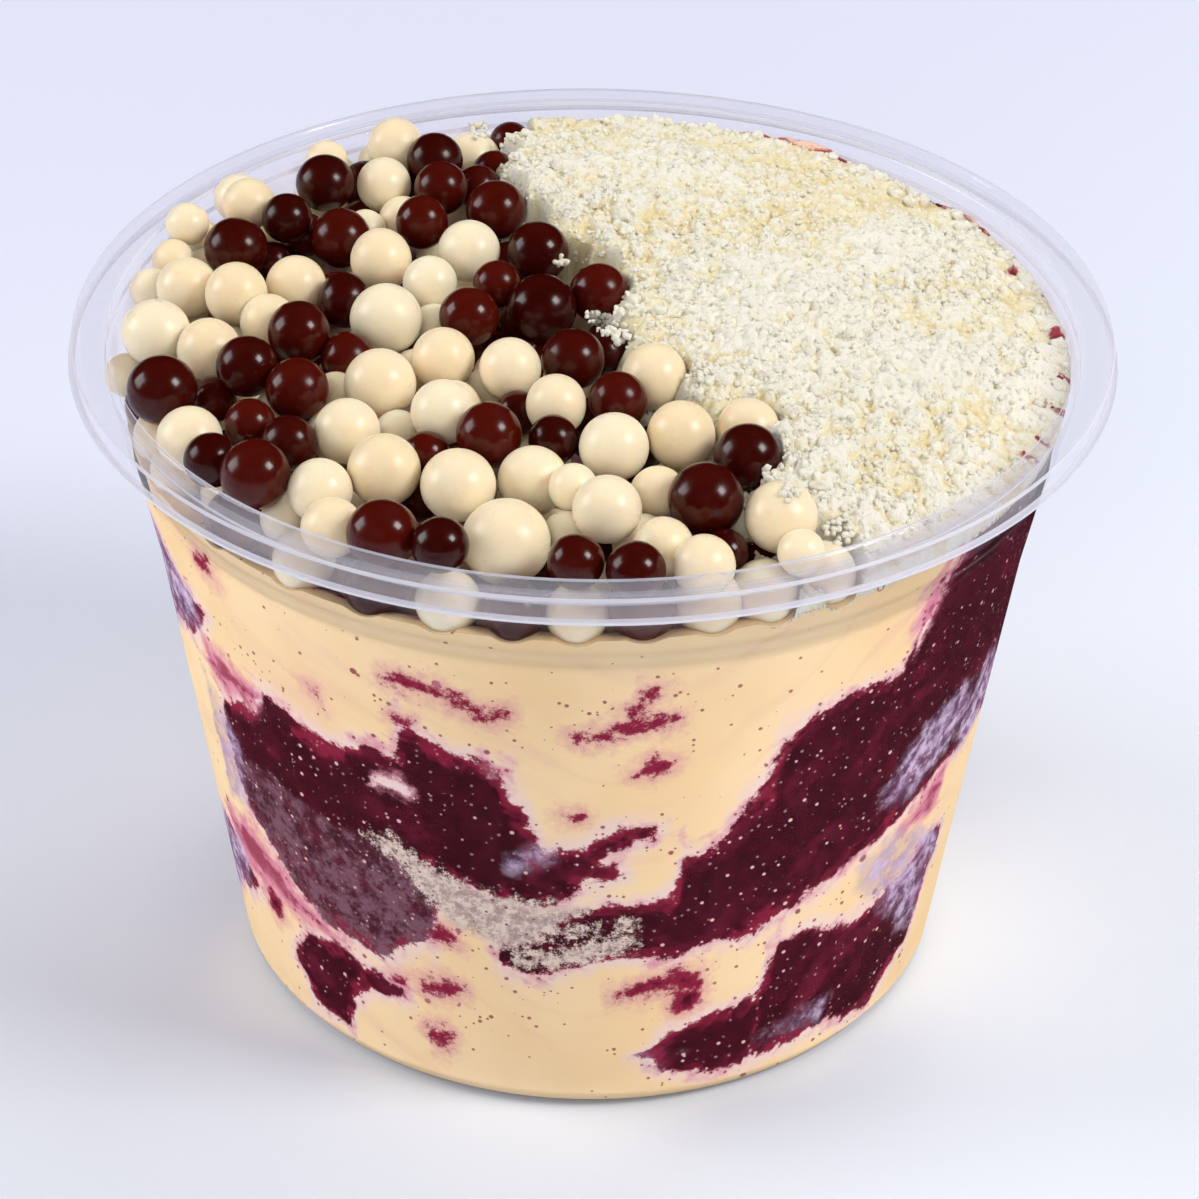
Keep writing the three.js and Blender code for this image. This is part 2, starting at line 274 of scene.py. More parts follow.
def mesh_piece(name, points, faces, material, normals=None, attributes=None):
    """A smooth mesh piece from points in millimetres and faces of three or four corners."""
    mesh = bpy.data.meshes.new(name)
    faces = [faces] if isinstance(faces, np.ndarray) else faces
    corners = np.concatenate([part.ravel() for part in faces])
    sizes = np.concatenate([np.full(len(part), part.shape[1]) for part in faces])
    mesh.vertices.add(len(points))
    mesh.vertices.foreach_set("co", (np.asarray(points) * MM).astype(np.float32).ravel())
    mesh.loops.add(len(corners))
    mesh.loops.foreach_set("vertex_index", corners.astype(np.int32))
    mesh.polygons.add(len(sizes))
    mesh.polygons.foreach_set("loop_start", np.concatenate([[0], np.cumsum(sizes)[:-1]]).astype(np.int32))
    mesh.polygons.foreach_set("use_smooth", np.ones(len(sizes), bool))
    mesh.update(calc_edges=True)
    mesh.validate()
    for key, values in (attributes or {}).items():
        layer = mesh.attributes.new(key, "FLOAT", "POINT")
        layer.data.foreach_set("value", values.astype(np.float32))
    if normals is not None:
        mesh.normals_split_custom_set_from_vertices(normals.tolist())
    mesh.materials.append(material)
    piece = bpy.data.objects.new(name, mesh)
    bpy.context.scene.collection.objects.link(piece)
    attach(piece, "root")
    return piece


def grid_quads(rows, columns, rows_close=False, columns_close=False):
    """Quads of a grid of points, row by row, whose last row or column may join its first."""
    row, column = np.meshgrid(np.arange(rows - (not rows_close)), np.arange(columns - (not columns_close)),
                              indexing="ij")
    here, after = row * columns, (row + 1) % rows * columns
    next_column = (column + 1) % columns
    corners = [here + column, here + next_column, after + next_column, after + column]
    return np.stack(corners, axis=-1).reshape(-1, 4)


def turned(profile, segments):
    """Points and faces of an outline of [radius, height] points turned round Z. Both its ends lie on Z."""
    rings = np.array(profile[1:-1])
    angles = np.arange(segments) * 2 * math.pi / segments
    points = np.stack([
        np.outer(rings[:, 0], np.sin(angles)),
        np.outer(rings[:, 0], -np.cos(angles)),
        np.repeat(rings[:, 1:], segments, axis=1),
    ], axis=-1).reshape(-1, 3)
    first, last = len(points), len(points) + 1
    points = np.vstack([points, [0, 0, profile[0][1]], [0, 0, profile[-1][1]]])
    step = np.arange(segments)
    after = (step + 1) % segments
    top = (len(rings) - 1) * segments
    caps = np.concatenate([
        np.stack([np.full(segments, first), after, step], axis=-1),
        np.stack([np.full(segments, last), top + step, top + after], axis=-1),
    ])
    return points, grid_quads(len(rings), segments, columns_close=True), caps


def off_axis(points):
    """How far each point lies from the pot's axis."""
    return np.hypot(points[:, 0], points[:, 1])


def wobble(points, size, seed):
    """Smooth noise from about -1 to 1 at each point, in waves of about that size. Each seed gives another."""
    shift = Vector((seed * 17.3, seed * 5.1, seed * 9.7))
    return np.array([noise.noise(Vector(point) / size + shift) for point in points.tolist()])


# ---- Clear plastic -----------------------------------------------------------------------------

PLASTIC_TINT = (0.975, 0.975, 0.99)
PLASTIC_MILK = (0.84, 0.83, 0.90)
PLASTIC_BEND = 1.12
SMEAR_COLOUR = (0.86, 0.62, 0.56)
SMEAR_SIZE = 7.0
WALL_GLOSS = 0.003
RIM_GLOSS = 0.045
FOOT_CORNER = 2.4
LEDGE = (64.9, 66.2)
FLANGE_RADIUS = 51.5
# Milkiness of each surface of the plastic. The pale bands on the ledge and along the skirt's foot are painted
# highlights.
WALL_MILK = 0.0015
LEDGE_HIGHLIGHT = 0.10
SKIRT_MILK = 0.085
FLANGE_MILK = 0.21
FOOT_HIGHLIGHT = 0.85
# Painted highlights along the rim's edges, as pale milky lines: [radius, half of the line's width,
# milkiness].
RIM_HIGHLIGHTS = [(55.18, 0.11, 0.85), (54.38, 0.16, 0.16), (51.9, 0.13, 0.14), (51.46, 0.13, 0.65)]


def milk_and_painted_highlights(shader, radius, height, is_rim):
    """How milky the plastic is: a little haze on the rim, and painted highlights as paler lines along the
    rim's edges and on the ledge.
    """
    is_top = shader.span(height, POT_HEIGHT - 0.55, POT_HEIGHT - 0.35)
    milk = shader.times(shader.moved(SKIRT_MILK, (is_top, FLANGE_MILK - SKIRT_MILK)), is_rim)
    # The rim's pale lines are painted highlights.
    for line_radius, half_width, highlight_milk in RIM_HIGHLIGHTS:
        off_line = shader.math("ABSOLUTE", shader.math("SUBTRACT", radius, line_radius))
        line = shader.span(off_line, half_width * 1.4, half_width * 0.6, 0.0, highlight_milk)
        milk = shader.larger(milk, shader.times(line, is_top))
    # A painted highlight along the skirt's foot, and a fainter one on the ledge.
    foot = shader.times(shader.span(height, RIM_FOOT + 0.40, RIM_FOOT + 0.28, 0.0, FOOT_HIGHLIGHT), is_rim)
    ledge = shader.times(shader.span(height, LEDGE[0], LEDGE[0] + 0.3),
                         shader.span(height, LEDGE[1], LEDGE[1] - 0.3, 0.0, LEDGE_HIGHLIGHT))
    return shader.math("ADD", shader.math("ADD", shader.larger(milk, foot), ledge), WALL_MILK)


def cream_smear(shader, place, radius, height):
    """How much cream clings to the wall between the filling and the rim."""
    above_filling = shader.times(shader.span(height, FILL_LEVEL - 0.5, FILL_LEVEL + 2.5),
                                 shader.span(height, POT_HEIGHT - 0.4, POT_HEIGHT - 3.0))
    smear = shader.span(shader.noise(place, SMEAR_SIZE, 4, 0.6), 0.35, 0.7, 0.08, 0.22)
    inside_rim = shader.span(radius, FLANGE_RADIUS + 0.3, FLANGE_RADIUS - 0.1)
    return shader.times(shader.times(smear, above_filling), inside_rim)


def plastic_material():
    """Thin clear plastic. Its wall bends light a little where it touches the filling."""
    shader = Shader("clear_plastic")
    place = shader.place()
    across, along, height = shader.add("ShaderNodeSeparateXYZ", Vector=place).outputs
    radius = shader.math("SQRT", shader.math("ADD", shader.times(across, across), shader.times(along, along)))
    is_rim = shader.times(shader.span(height, RIM_FOOT - 0.4, RIM_FOOT + 0.1),
                          shader.span(radius, FLANGE_RADIUS - 0.2, FLANGE_RADIUS))
    straight = shader.add("ShaderNodeBsdfTransparent", Color=PLASTIC_TINT)
    bent = shader.add("ShaderNodeBsdfRefraction", Color=PLASTIC_TINT, Roughness=0.02, IOR=PLASTIC_BEND)
    is_shadow = shader.add("ShaderNodeLightPath").outputs["Is Shadow Ray"]
    is_wall = shader.times(shader.span(height, LEDGE[0] - 1.0, LEDGE[0] - 1.2),
                           shader.span(height, FOOT_CORNER, FOOT_CORNER + 0.2))
    clear = shader.blend(shader.larger(is_shadow, shader.math("SUBTRACT", 1.0, is_wall)), bent, straight)
    gloss = shader.add("ShaderNodeBsdfGlossy", Color=(1.0, 1.0, 1.0), Roughness=0.12)
    body = shader.blend(shader.moved(WALL_GLOSS, (is_rim, RIM_GLOSS)), clear, gloss)
    body = shader.blend(cream_smear(shader, place, radius, height), body,
                        shader.add("ShaderNodeBsdfDiffuse", Color=SMEAR_COLOUR))
    haze = shader.blend(0.6, shader.add("ShaderNodeBsdfTranslucent", Color=PLASTIC_MILK),
                        shader.add("ShaderNodeBsdfDiffuse", Color=PLASTIC_MILK))
    # Milky haze, with painted highlights along the rim's edges, the skirt's foot and the ledge.
    body = shader.blend(milk_and_painted_highlights(shader, radius, height, is_rim), body, haze)
    shader.tree.links.new(body.outputs[0], shader.output.inputs[0])
    return shader.material


def make_pot():
    """The clear pot, as one thin solid with its rim and hanging skirt."""
    outline = filleted(POT_OUTSIDE + [(*INSIDE_MOUTH, 0.1)] + POT_INSIDE[::-1])
    points, quads, caps = turned(outline, ROUND_THE_POT)
    pot = mesh_piece("pot", points, [quads, caps], plastic_material())
    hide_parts("cup")


# ---- Filling -----------------------------------------------------------------------------------

FILL_FLOOR = 0.4
FILL_LEVEL = 69.3
FILL_TIP = 1.8
FILL_TIP_TOWARDS = math.radians(53)
FILL_TIP_SPAN = 47.1
FILL_AROUND = 448
FILL_ROW = 0.65
FILL_TOP_RINGS = 22
FILL_FOOT_HEIGHT = 8.0
FILL_FOOT_RADIUS = 38.2
FILL_FOOT_FILLET = 1.9
FILL_BASE_RADII = (9, 18, 27, 34)
# Height from which the side's rows of points follow the tipped top.
FILL_LEVEL_FOLLOWS = 60.0
HOLLOW = 3.2
# The hollow deepens between these distances before the line between the toppings, and off the wall.
HOLLOW_OFF_DIVIDE = (-1.0, 4.0)
HOLLOW_OFF_WALL = (1.0, 6.0)
# How far the filling reaches into the wall at two heights.
OVERLAP_HEIGHTS = (4, 14)
OVERLAPS = (0.45, 0.14)
LINING = 5.0
UNROLLED_RADIUS = 46.0

# Regions of the filling's side: [bearing, low height, high height] along each.
ACAI = [
    [[-60, 34, 39], [-58, 29, 43], [-54, 25, 44.5], [-50, 22, 45], [-47.5, 20.5, 48.5], [-44, 19.5, 48],
     [-40, 18.5, 47], [-36, 18, 46.5], [-32, 17.8, 47.5], [-30, 18.5, 48.5], [-27.5, 20, 47.5],
     [-25, 21.5, 48], [-23.5, 22.5, 52.8], [-21, 30, 51.5], [-18, 32.3, 50.8], [-14, 31.2, 49.5],
     [-11, 30.6, 47.5], [-9, 30.4, 44], [-7.5, 30.2, 40.5], [-6.5, 30.3, 37.8], [-5, 30.8, 37.2],
     [-2.5, 31.8, 38], [0, 34.5, 39.3], [3, 38, 41.2], [6, 39, 41.6], [8.5, 40, 41]],
    [[0.5, 34.2, 36], [2.5, 33.6, 36.3], [4.3, 34.3, 35.8]],
    [[-12, 20.2, 24.5], [-10, 19.8, 25.5], [-7, 19.6, 26], [-3, 20.8, 29.2], [0, 21.6, 29.6],
     [5, 22.2, 30], [9, 22.4, 30.5], [11.5, 22.6, 32], [13, 23, 36.5], [15.5, 23.6, 37.2],
     [18, 24, 38], [20, 23.2, 40], [22, 22.6, 43], [24, 23, 46], [26, 23.8, 50.5], [28, 24.6, 52.5],
     [31, 25.4, 54], [36, 27.2, 54.2], [40, 28.8, 53.8], [42.5, 29.6, 54.4], [43.5, 29.8, 58],
     [45, 30.2, 60.8], [47, 31, 62.5], [49, 31.5, 66], [50.5, 32, 70], [52, 32.4, 80], [56, 33.5, 80],
     [61, 34.6, 80], [66, 34.2, 80], [71, 35.4, 80], [76, 34, 80], [82, 31.5, 70], [90, 27.5, 63],
     [98, 25, 55], [110, 23, 45], [124, 21, 35], [136, 22, 27]],
    [[-52, 9, 11], [-50, 5.5, 13.2], [-48, 3.8, 15], [-45, 3.4, 15], [-42, 3.8, 16], [-40.5, 5.5, 16],
     [-39, 9, 15.6], [-36, 10.8, 14.6], [-32, 11.4, 14.4], [-29, 12.2, 13.8]],
    [[7.5, 6.3, 7.3], [10, 5.6, 8.6], [12.5, 5, 11], [16, 4.6, 12], [20, 4.2, 12.5], [24, 4, 12.6],
     [27, 4, 13.2], [28.5, 4.1, 18], [30, 4.2, 21.2], [34, 4.4, 21.4], [38, 4.8, 19.8], [43, 4.6, 19.4],
     [47, 3.6, 20], [51, 3.8, 20.6], [55, 5.4, 21.6], [58, 7.2, 23], [61.5, 9, 24.6], [64, 14, 24.6],
     [66, 19.5, 23.5]],
    [[-106, 34, 46], [-96, 37, 53], [-88, 40, 56], [-80, 44.5, 58.5], [-73, 47, 58.5], [-66, 48, 56],
     [-61, 51.5, 54.5], [-59, 52.6, 53.6]],
    [[-118, 6, 8], [-108, 4, 13], [-96, 3.4, 15.5], [-88, 3.6, 14], [-80, 6.5, 18], [-72, 11.5, 19.6],
     [-66, 13.2, 17.6], [-62.5, 14.6, 16]],
    [[144, 8, 11], [150, 8.5, 15.5], [157, 10.5, 20.5], [165, 12.5, 28.5], [173, 16.5, 33], [184, 21, 43],
     [192, 27.5, 46], [198, 31, 52], [206, 38.5, 54], [213, 42.5, 57], [219, 47, 56], [223, 50, 53]],
    [[110, 7, 9], [117, 4.8, 12.5], [124, 4.2, 15.5], [130, 5, 14.2], [137, 4.6, 14.6], [143, 6, 11],
     [149, 6.4, 8]],
    [[212, 13, 15.5], [219, 13.2, 23], [227, 15.5, 28.5], [234, 19.5, 33.5], [241, 21.5, 39.5],
     [248, 27.2, 42], [254, 30.5, 47.5], [261, 36.5, 49], [266, 39.5, 50]],
    [[148, 54.5, 56.5], [155, 51.5, 60], [162, 50.5, 61], [169, 53, 59.6], [176, 52.5, 60.5],
     [182, 55, 59], [187, 56.5, 57.5]],
]
FROST = [
    [[-62, 25, 33], [-57, 21, 36], [-50, 18, 36.2], [-43, 17, 35.6], [-36, 16.5, 35.2],
     [-30, 17, 35.6], [-26.5, 19, 34.4], [-24, 21.5, 31.5], [-22, 24, 28]],
]
PALE = [
    [[-33, 34.6, 35.6], [-30, 34.4, 36.4], [-27, 33, 36.2], [-25, 30.6, 35.4], [-23, 27.6, 34.6],
     [-20, 25.5, 33.4], [-15, 24.4, 32.2], [-10, 22.6, 31.2], [-6, 24.5, 30.8], [-3, 27, 30.6],
     [0, 28.8, 30.4]],
    [[-11, 20.6, 22.4], [-6, 20.6, 24], [-1, 21.6, 25], [4, 22.6, 25.4], [8, 23.4, 25.2]],
    [[-4, 25.6, 27.6], [-1, 25.4, 27.4], [2, 26, 27]],
    [[4, 25.6, 27.4], [6, 25.2, 28], [8, 25.8, 27.6]],
]
LAVENDER = [
    [[-9.8, 35, 36.4], [-7, 35.2, 38], [-4.5, 36.4, 37.8]],
    [[-65, 26, 44], [-61, 27, 42], [-57.5, 31, 37]],
    [[45.5, 35, 37.5], [48, 33.6, 41], [52, 34, 43.4], [57, 36.5, 44.4], [61, 38, 44], [65, 38.5, 42.5]],
    [[43, 24, 27.5], [48, 20.8, 29], [53, 17.5, 29], [58, 12.5, 26.5], [62, 12, 25], [66, 17, 22]],
    [[27.5, 4.6, 7.6], [33, 4.6, 8.4], [38, 5.2, 8.4], [41.5, 6, 8.2]],
    [[8.5, 5.8, 8.4], [13, 5.2, 7.6], [17, 5, 6.6]],
    [[64, 33, 40], [70, 34, 44], [78, 33, 42], [86, 29, 36]],
    [[-92, 38, 50], [-84, 42, 56], [-76, 44, 60], [-68, 48, 58], [-62, 51, 56]],
    [[-92, 3, 12], [-82, 6, 18], [-74, 10, 20], [-66, 14, 19]],
    [[176, 20, 28], [186, 24, 36], [196, 31, 42]],
    [[232, 22, 30], [242, 26, 36], [252, 33, 42]],
]
PINK = [
    [[-70, 19, 23], [-64, 16.5, 25.5], [-58, 15.5, 26], [-52, 17, 23], [-46, 16.6, 20], [-39, 16, 18]],
    [[-61.5, 45, 49.5], [-57, 43.5, 50.4], [-52, 43, 50.6], [-47.5, 46, 49]],
    [[-30.5, 42.6, 44.8], [-27, 41.6, 45.8], [-24, 41.4, 45.4], [-22, 42.4, 44.2]],
    [[44, 55, 63], [46.5, 60, 67.5], [49, 63, 72], [51, 66, 72]],
    [[-14, 47.4, 50.4], [-9.5, 46.4, 49.6]],
    [[50, 28, 31], [56, 27.5, 34], [61, 29, 35]],
    [[104, 20, 24], [118, 17, 23], [132, 18, 24]],
    [[190, 22, 30], [204, 30, 38], [216, 38, 44]],
    [[-124, 10, 16], [-112, 12, 18], [-100, 14, 18]],
]
STREAKS = [
    [[-25.5, 58.7, 59.5], [-21, 58.1, 59.1], [-17, 57, 58.2], [-13.5, 56.3, 57.7], [-10, 56.2, 57]],
    [[-1.5, 53.4, 54.2], [1.5, 54, 55], [4.5, 55.2, 56.6], [7.5, 55.6, 57], [11, 55.3, 56.4]],
    [[5, 57, 58.2], [6.3, 58, 60], [8, 59.4, 60.8]],
    [[6.5, 49.2, 50], [8.2, 48.6, 51], [10, 48.8, 50.4]],
    [[-58.5, 14.6, 17], [-56.5, 13.6, 18], [-54.5, 14.6, 17.6]],
    [[-30, 14.8, 15.8], [-28, 14.6, 16]],
    [[-24.5, 14.6, 15.8], [-22, 13.8, 16.6], [-19.5, 14.4, 15.8]],
    [[-25, 7.6, 8.8], [-23, 7.2, 9.2], [-21, 7.6, 8.6]],
    [[-22.8, 4.6, 5.4], [-21.8, 4.4, 5.5]],
    [[-3.2, 42.3, 43.1], [-2, 42.3, 43.3]],
    [[-56, 61.6, 62.6], [-54, 61.4, 63.6], [-52.5, 61.6, 62.8]],
    [[5, 16, 17], [8, 16.4, 18.4], [11, 17.4, 20], [14, 17.2, 20.4], [16.5, 16.4, 19.4]],
    [[13, 14.4, 16.4], [15, 14, 17.6], [17, 14.6, 16.6]],
    [[-24.5, 53.2, 54.4], [-22.5, 53, 54]],
    [[-38, 52.2, 53], [-36.5, 52, 53]],
    [[-23, 22.2, 24.2], [-20.5, 22.6, 25], [-19, 22.8, 24.2]],
    [[150, 40.4, 41.4], [156, 41.6, 43], [163, 43.6, 45], [170, 44.2, 45]],
    [[232, 54.6, 55.4], [240, 55.2, 56.8], [249, 57.2, 58]],
    [[96, 17, 18], [101, 17.2, 19], [106, 18.6, 19.6]],
    [[-140, 44, 45], [-134, 44.6, 46.8], [-126, 47, 48.6], [-120, 48.6, 49.4]],
]
# Sprays of fine drops: [bearing, height, reach round the pot, reach in height, share of dots].
SPRAY = [
    (-18, 58, 9, 3, 0.55), (-26, 55, 5, 2.5, 0.5), (-45, 52.5, 9, 2.5, 0.45), (-56, 54, 7, 3, 0.45),
    (6, 57, 7, 5, 0.4), (14, 55, 12, 7, 0.2), (-20, 15, 9, 6, 0.5), (-33, 21, 9, 2.5, 0.4),
    (20, 19, 9, 4, 0.5), (9, 16, 6, 4, 0.5), (24, 38, 4, 8, 0.35), (-21, 25, 5, 3, 0.7),
    (8, 8, 5, 4, 0.45), (-10, 52, 8, 3, 0.25), (-52, 8, 4, 5, 0.35), (33, 23, 10, 3, 0.35),
    (150, 47, 14, 6, 0.35), (205, 25, 12, 6, 0.4), (240, 52, 12, 5, 0.35), (112, 18, 10, 5, 0.4),
    (-130, 40, 12, 8, 0.35), (-112, 24, 10, 5, 0.4), (180, 50, 16, 4, 0.3),
]
# The line along which the swirls flow: [bearing, height].
FLOW = [
    (-180, 31), (-137, 52), (-100, 50), (-60, 52), (-45, 47), (-25, 40), (-8, 32), (5, 28), (20, 34),
    (35, 48), (50, 60), (65, 62), (82, 52), (96, 42), (110, 33), (124, 26), (140, 20), (156, 20),
    (170, 26), (180, 31),
]
FLOW_SMOOTHING = 25


def region(shapes, bearing, height):
    """Distance into the nearest of some shapes, in millimetres, negative outside."""
    per_degree = math.radians(UNROLLED_RADIUS)
    deepest = np.full(len(bearing), -30.0)
    for shape in shapes:
        degrees, lows, highs = np.array(shape, float).T
        middle = (degrees[0] + degrees[-1]) / 2
        at = middle + (bearing - middle + 180) % 360 - 180
        low, high = np.interp(at, degrees, lows), np.interp(at, degrees, highs)
        low_slope = (np.interp(at + 0.5, degrees, lows) - np.interp(at - 0.5, degrees, lows)) / per_degree
        high_slope = (np.interp(at + 0.5, degrees, highs) - np.interp(at - 0.5, degrees, highs)) / per_degree
        depth = np.minimum((height - low) / np.hypot(1, low_slope), (high - height) / np.hypot(1, high_slope))
        past = np.maximum(degrees[0] - at, at - degrees[-1]) * per_degree
        outside = -np.hypot(np.maximum(past, 0), np.maximum(-depth, 0))
        deepest = np.maximum(deepest, np.where(past > 0, outside, depth))
    return deepest


def spray(bearing, height):
    """Share of dots at each place on the filling's side."""
    share = np.zeros(len(bearing))
    for degrees, middle, reach, rise, most in SPRAY:
        across = ((bearing - degrees + 180) % 360 - 180) * math.radians(UNROLLED_RADIUS)
        share = np.maximum(share, most * np.exp(-(across / reach) ** 2 - ((height - middle) / rise) ** 2))
    return share


def smooth_step(value, low, high):
    """The value's place between low and high, from 0 to 1, smoothed at both ends."""
    share = np.clip((value - low) / (high - low), 0, 1)
    return share * share * (3 - 2 * share)


def fill_radius(height):
    """Radius of the filling's side, which reaches just into the pot's wall, and further into its corner."""
    return inside_radius(height) + np.interp(height, OVERLAP_HEIGHTS, OVERLAPS)


def soft_level(x, y):
    """Height of the filling's tipped top, which the chocolate balls press down into a hollow."""
    towards = x * math.cos(FILL_TIP_TOWARDS) + y * math.sin(FILL_TIP_TOWARDS)
    tipped = FILL_LEVEL + FILL_TIP * towards / FILL_TIP_SPAN
    hollow = HOLLOW * smooth_step(MOUND_RADIUS - np.hypot(x, y), *HOLLOW_OFF_WALL)
    return tipped - smooth_step(-past_divide(x, y), *HOLLOW_OFF_DIVIDE) * hollow


def fill_level(x, y):
    """Height of the filling's top, with the dents of the balls that lie along the wall."""
    centres, radii, _ = WALL_BALLS
    flat = np.stack(np.broadcast_arrays(x, y), axis=-1)
    reach = off_axis(centres)
    outward = centres[:, :2] / reach[:, None]
    sideways = outward[:, ::-1] * (-1, 1)
    aside = np.abs(flat @ sideways.T)
    is_under = (aside < radii) & (flat @ outward.T > reach - radii)
    half_height = np.sqrt(np.maximum(radii ** 2 - aside ** 2, 0))
    underside = centres[:, 2] + radii * math.tan(EYE_ELEVATION) - half_height / math.cos(EYE_ELEVATION)
    return np.minimum(soft_level(x, y), np.where(is_under, underside, FILL_LEVEL * 2).min(axis=-1))


def fill_surface():
    """Points and triangles of the whole filling, and which points lie on its top."""
    foot = filleted([(0, FILL_FLOOR, 0), (FILL_FOOT_RADIUS, FILL_FLOOR, FILL_FOOT_FILLET),
                     (fill_radius(FILL_FOOT_HEIGHT), FILL_FOOT_HEIGHT, 0)])[1:-1]
    heights = np.append(np.arange(FILL_FOOT_HEIGHT, FILL_LEVEL, FILL_ROW), FILL_LEVEL)
    wall = [(fill_radius(height), height) for height in heights]
    base = [(radius, FILL_FLOOR) for radius in FILL_BASE_RADII]
    edge = wall[-1][0]
    top = [(edge * (1 - ring / FILL_TOP_RINGS), FILL_LEVEL) for ring in range(1, FILL_TOP_RINGS)]
    profile = [(0, FILL_FLOOR), *base, *foot, *wall, *top, (0, FILL_LEVEL)]
    points, quads, caps = turned(profile, FILL_AROUND)
    on_top = np.zeros(len(points), bool)
    on_top[(len(base) + len(foot) + len(wall)) * FILL_AROUND:-2] = True
    on_top[-1] = True
    level = fill_level(*points.T[:2])
    rise = np.clip((points[:, 2] - FILL_LEVEL_FOLLOWS) / (FILL_LEVEL - FILL_LEVEL_FOLLOWS), 0, 1)
    points[:, 2] += rise * (level - FILL_LEVEL)
    reach = off_axis(points)
    is_fixed = on_top | (points[:, 2] < FILL_FOOT_HEIGHT)
    points[:, :2] *= np.where(is_fixed, 1, fill_radius(points[:, 2]) / np.maximum(reach, 1))[:, None]
    relief = wobble(points, 9.0, 3) * 0.5 + wobble(points, 3.0, 4) * 0.2
    points[:, 2] += on_top * relief * np.clip((edge - reach) / 3, 0, 1)
    quad_triangles = np.concatenate([quads[:, [0, 1, 2]], quads[:, [0, 2, 3]]])
    return points, np.concatenate([quad_triangles, caps]), on_top


def vertex_normals(points, triangles):
    """The direction that each point of a mesh faces."""
    a, b, c = (points[triangles[:, i]] for i in range(3))
    face = np.cross(b - a, c - a)
    normals = np.zeros_like(points)
    for i in range(3):
        np.add.at(normals, triangles[:, i], face)
    return normals / np.maximum(np.linalg.norm(normals, axis=1, keepdims=True), 1e-12)


def flow_height(bearing):
    """Height of the line along which the swirls flow, at each bearing."""
    degrees, heights = np.array(FLOW, float).T
    even = np.interp(np.arange(-180, 180), degrees, heights)
    weights = np.hanning(FLOW_SMOOTHING)
    smooth = np.convolve(np.tile(even, 3), weights / weights.sum(), "same")[360:720]
    return np.interp(bearing, np.arange(-180, 180), smooth, period=360)


def fill_fields(points, on_top):
    """Where each kind of colour lies on the filling, as a distance into it or a share."""
    warp = np.stack([
        wobble(points, 7.0, 5) * 1.1 + wobble(points, 2.6, 6) * 0.55,
        wobble(points, 7.0, 7) * 1.1 + wobble(points, 2.6, 8) * 0.55,
    ])
    bearing = np.degrees(np.arctan2(points[:, 0], -points[:, 1])) + warp[0] / math.radians(UNROLLED_RADIUS)
    height = points[:, 2] + warp[1]
    acai = region(ACAI, bearing, height) + 0.45 * wobble(points, 1.5, 9)
    cloud = 4.0 * (wobble(points, 11.0, 10) - 0.25) + wobble(points, 4.0, 11)
    acai = np.where(on_top, cloud, acai)
    fields = {
        "acai": acai,
        "frost": region(FROST, bearing, height),
        "pale": region(PALE, bearing, height),
        "lavender": region(LAVENDER, bearing, height),
        "pink": np.where(on_top, 1.5 + cloud, region(PINK, bearing, height)),
        "streak": np.where(on_top, -5, region(STREAKS, bearing, height)),
        "spray": np.where(on_top, 0.3, spray(bearing, height)),
    }
    fields = {key: np.clip(values, -8, 8) for key, values in fields.items()}
    fields["flow"] = height - flow_height(bearing)
    return fields


def split_along(triangles, points, fields, normals, key):
    """Cuts triangles where a field is zero. Returns the triangles above it and below it."""
    level = fields[key]
    is_above = level[triangles] > 0
    count = is_above.sum(axis=1)
    above, below = triangles[count == 3], triangles[count == 0]
    mixed = triangles[(count == 1) | (count == 2)]
    flags = is_above[(count == 1) | (count == 2)]
    lone = np.where(flags.sum(axis=1) == 1, flags.argmax(axis=1), (~flags).argmax(axis=1))
    row = np.arange(len(mixed))
    a, b, c = (mixed[row, (lone + turn) % 3] for turn in range(3))
    pairs = np.sort(np.concatenate([np.stack([a, b], 1), np.stack([a, c], 1)]), axis=1)
    cuts, index = np.unique(pairs, axis=0, return_inverse=True)
    index = index.ravel() + len(points)
    low, high = level[cuts[:, 0]], level[cuts[:, 1]]
    share = np.clip(low / (low - high), 0.1, 0.9)[:, None]

    def blend(values):
        return values[cuts[:, 0]] * (1 - share) + values[cuts[:, 1]] * share

    points = np.vstack([points, blend(points)])
    normals = np.vstack([normals, blend(normals)])
    fields = {name: np.append(values, blend(values[:, None])[:, 0]) for name, values in fields.items()}
    fields[key][len(points) - len(cuts):] = 0
    ab, ac = index[:len(mixed)], index[len(mixed):]
    tips = np.stack([a, ab, ac], 1)
    rests = np.concatenate([np.stack([ab, b, c], 1), np.stack([ab, c, ac], 1)])
    tip_above = flags[row, lone]
    rest_above = np.tile(tip_above, 2)
    above = np.concatenate([above, tips[tip_above], rests[~rest_above]])
    below = np.concatenate([below, tips[~tip_above], rests[rest_above]])
    return above, below, points, fields, normals


# Colours of the filling.
CREAM_PALE = (0.88, 0.65, 0.375)
CREAM_WARM = (0.85, 0.595, 0.32)
CREAM_BLUSH = (0.76, 0.46, 0.33)
HALO_PALE = (0.80, 0.60, 0.56)
STAIN_PINK = (0.65, 0.23, 0.30)
STAIN_RED = (0.25, 0.014, 0.042)
ACAI_DEEP = (0.030, 0.0014, 0.0044)
ACAI_MID = (0.066, 0.0042, 0.0115)
ACAI_RED = (0.135, 0.0085, 0.0250)
FROST_GREY = (0.185, 0.082, 0.108)
WEDGE_GREY = (0.40, 0.27, 0.25)
WEDGE_PALE = (0.72, 0.58, 0.48)
LAVENDER_DEEP = (0.30, 0.17, 0.30)
LAVENDER_PALE = (0.60, 0.46, 0.60)
SPECK_PALE = (0.78, 0.46, 0.42)
FILLING_SPECULAR = 0.03
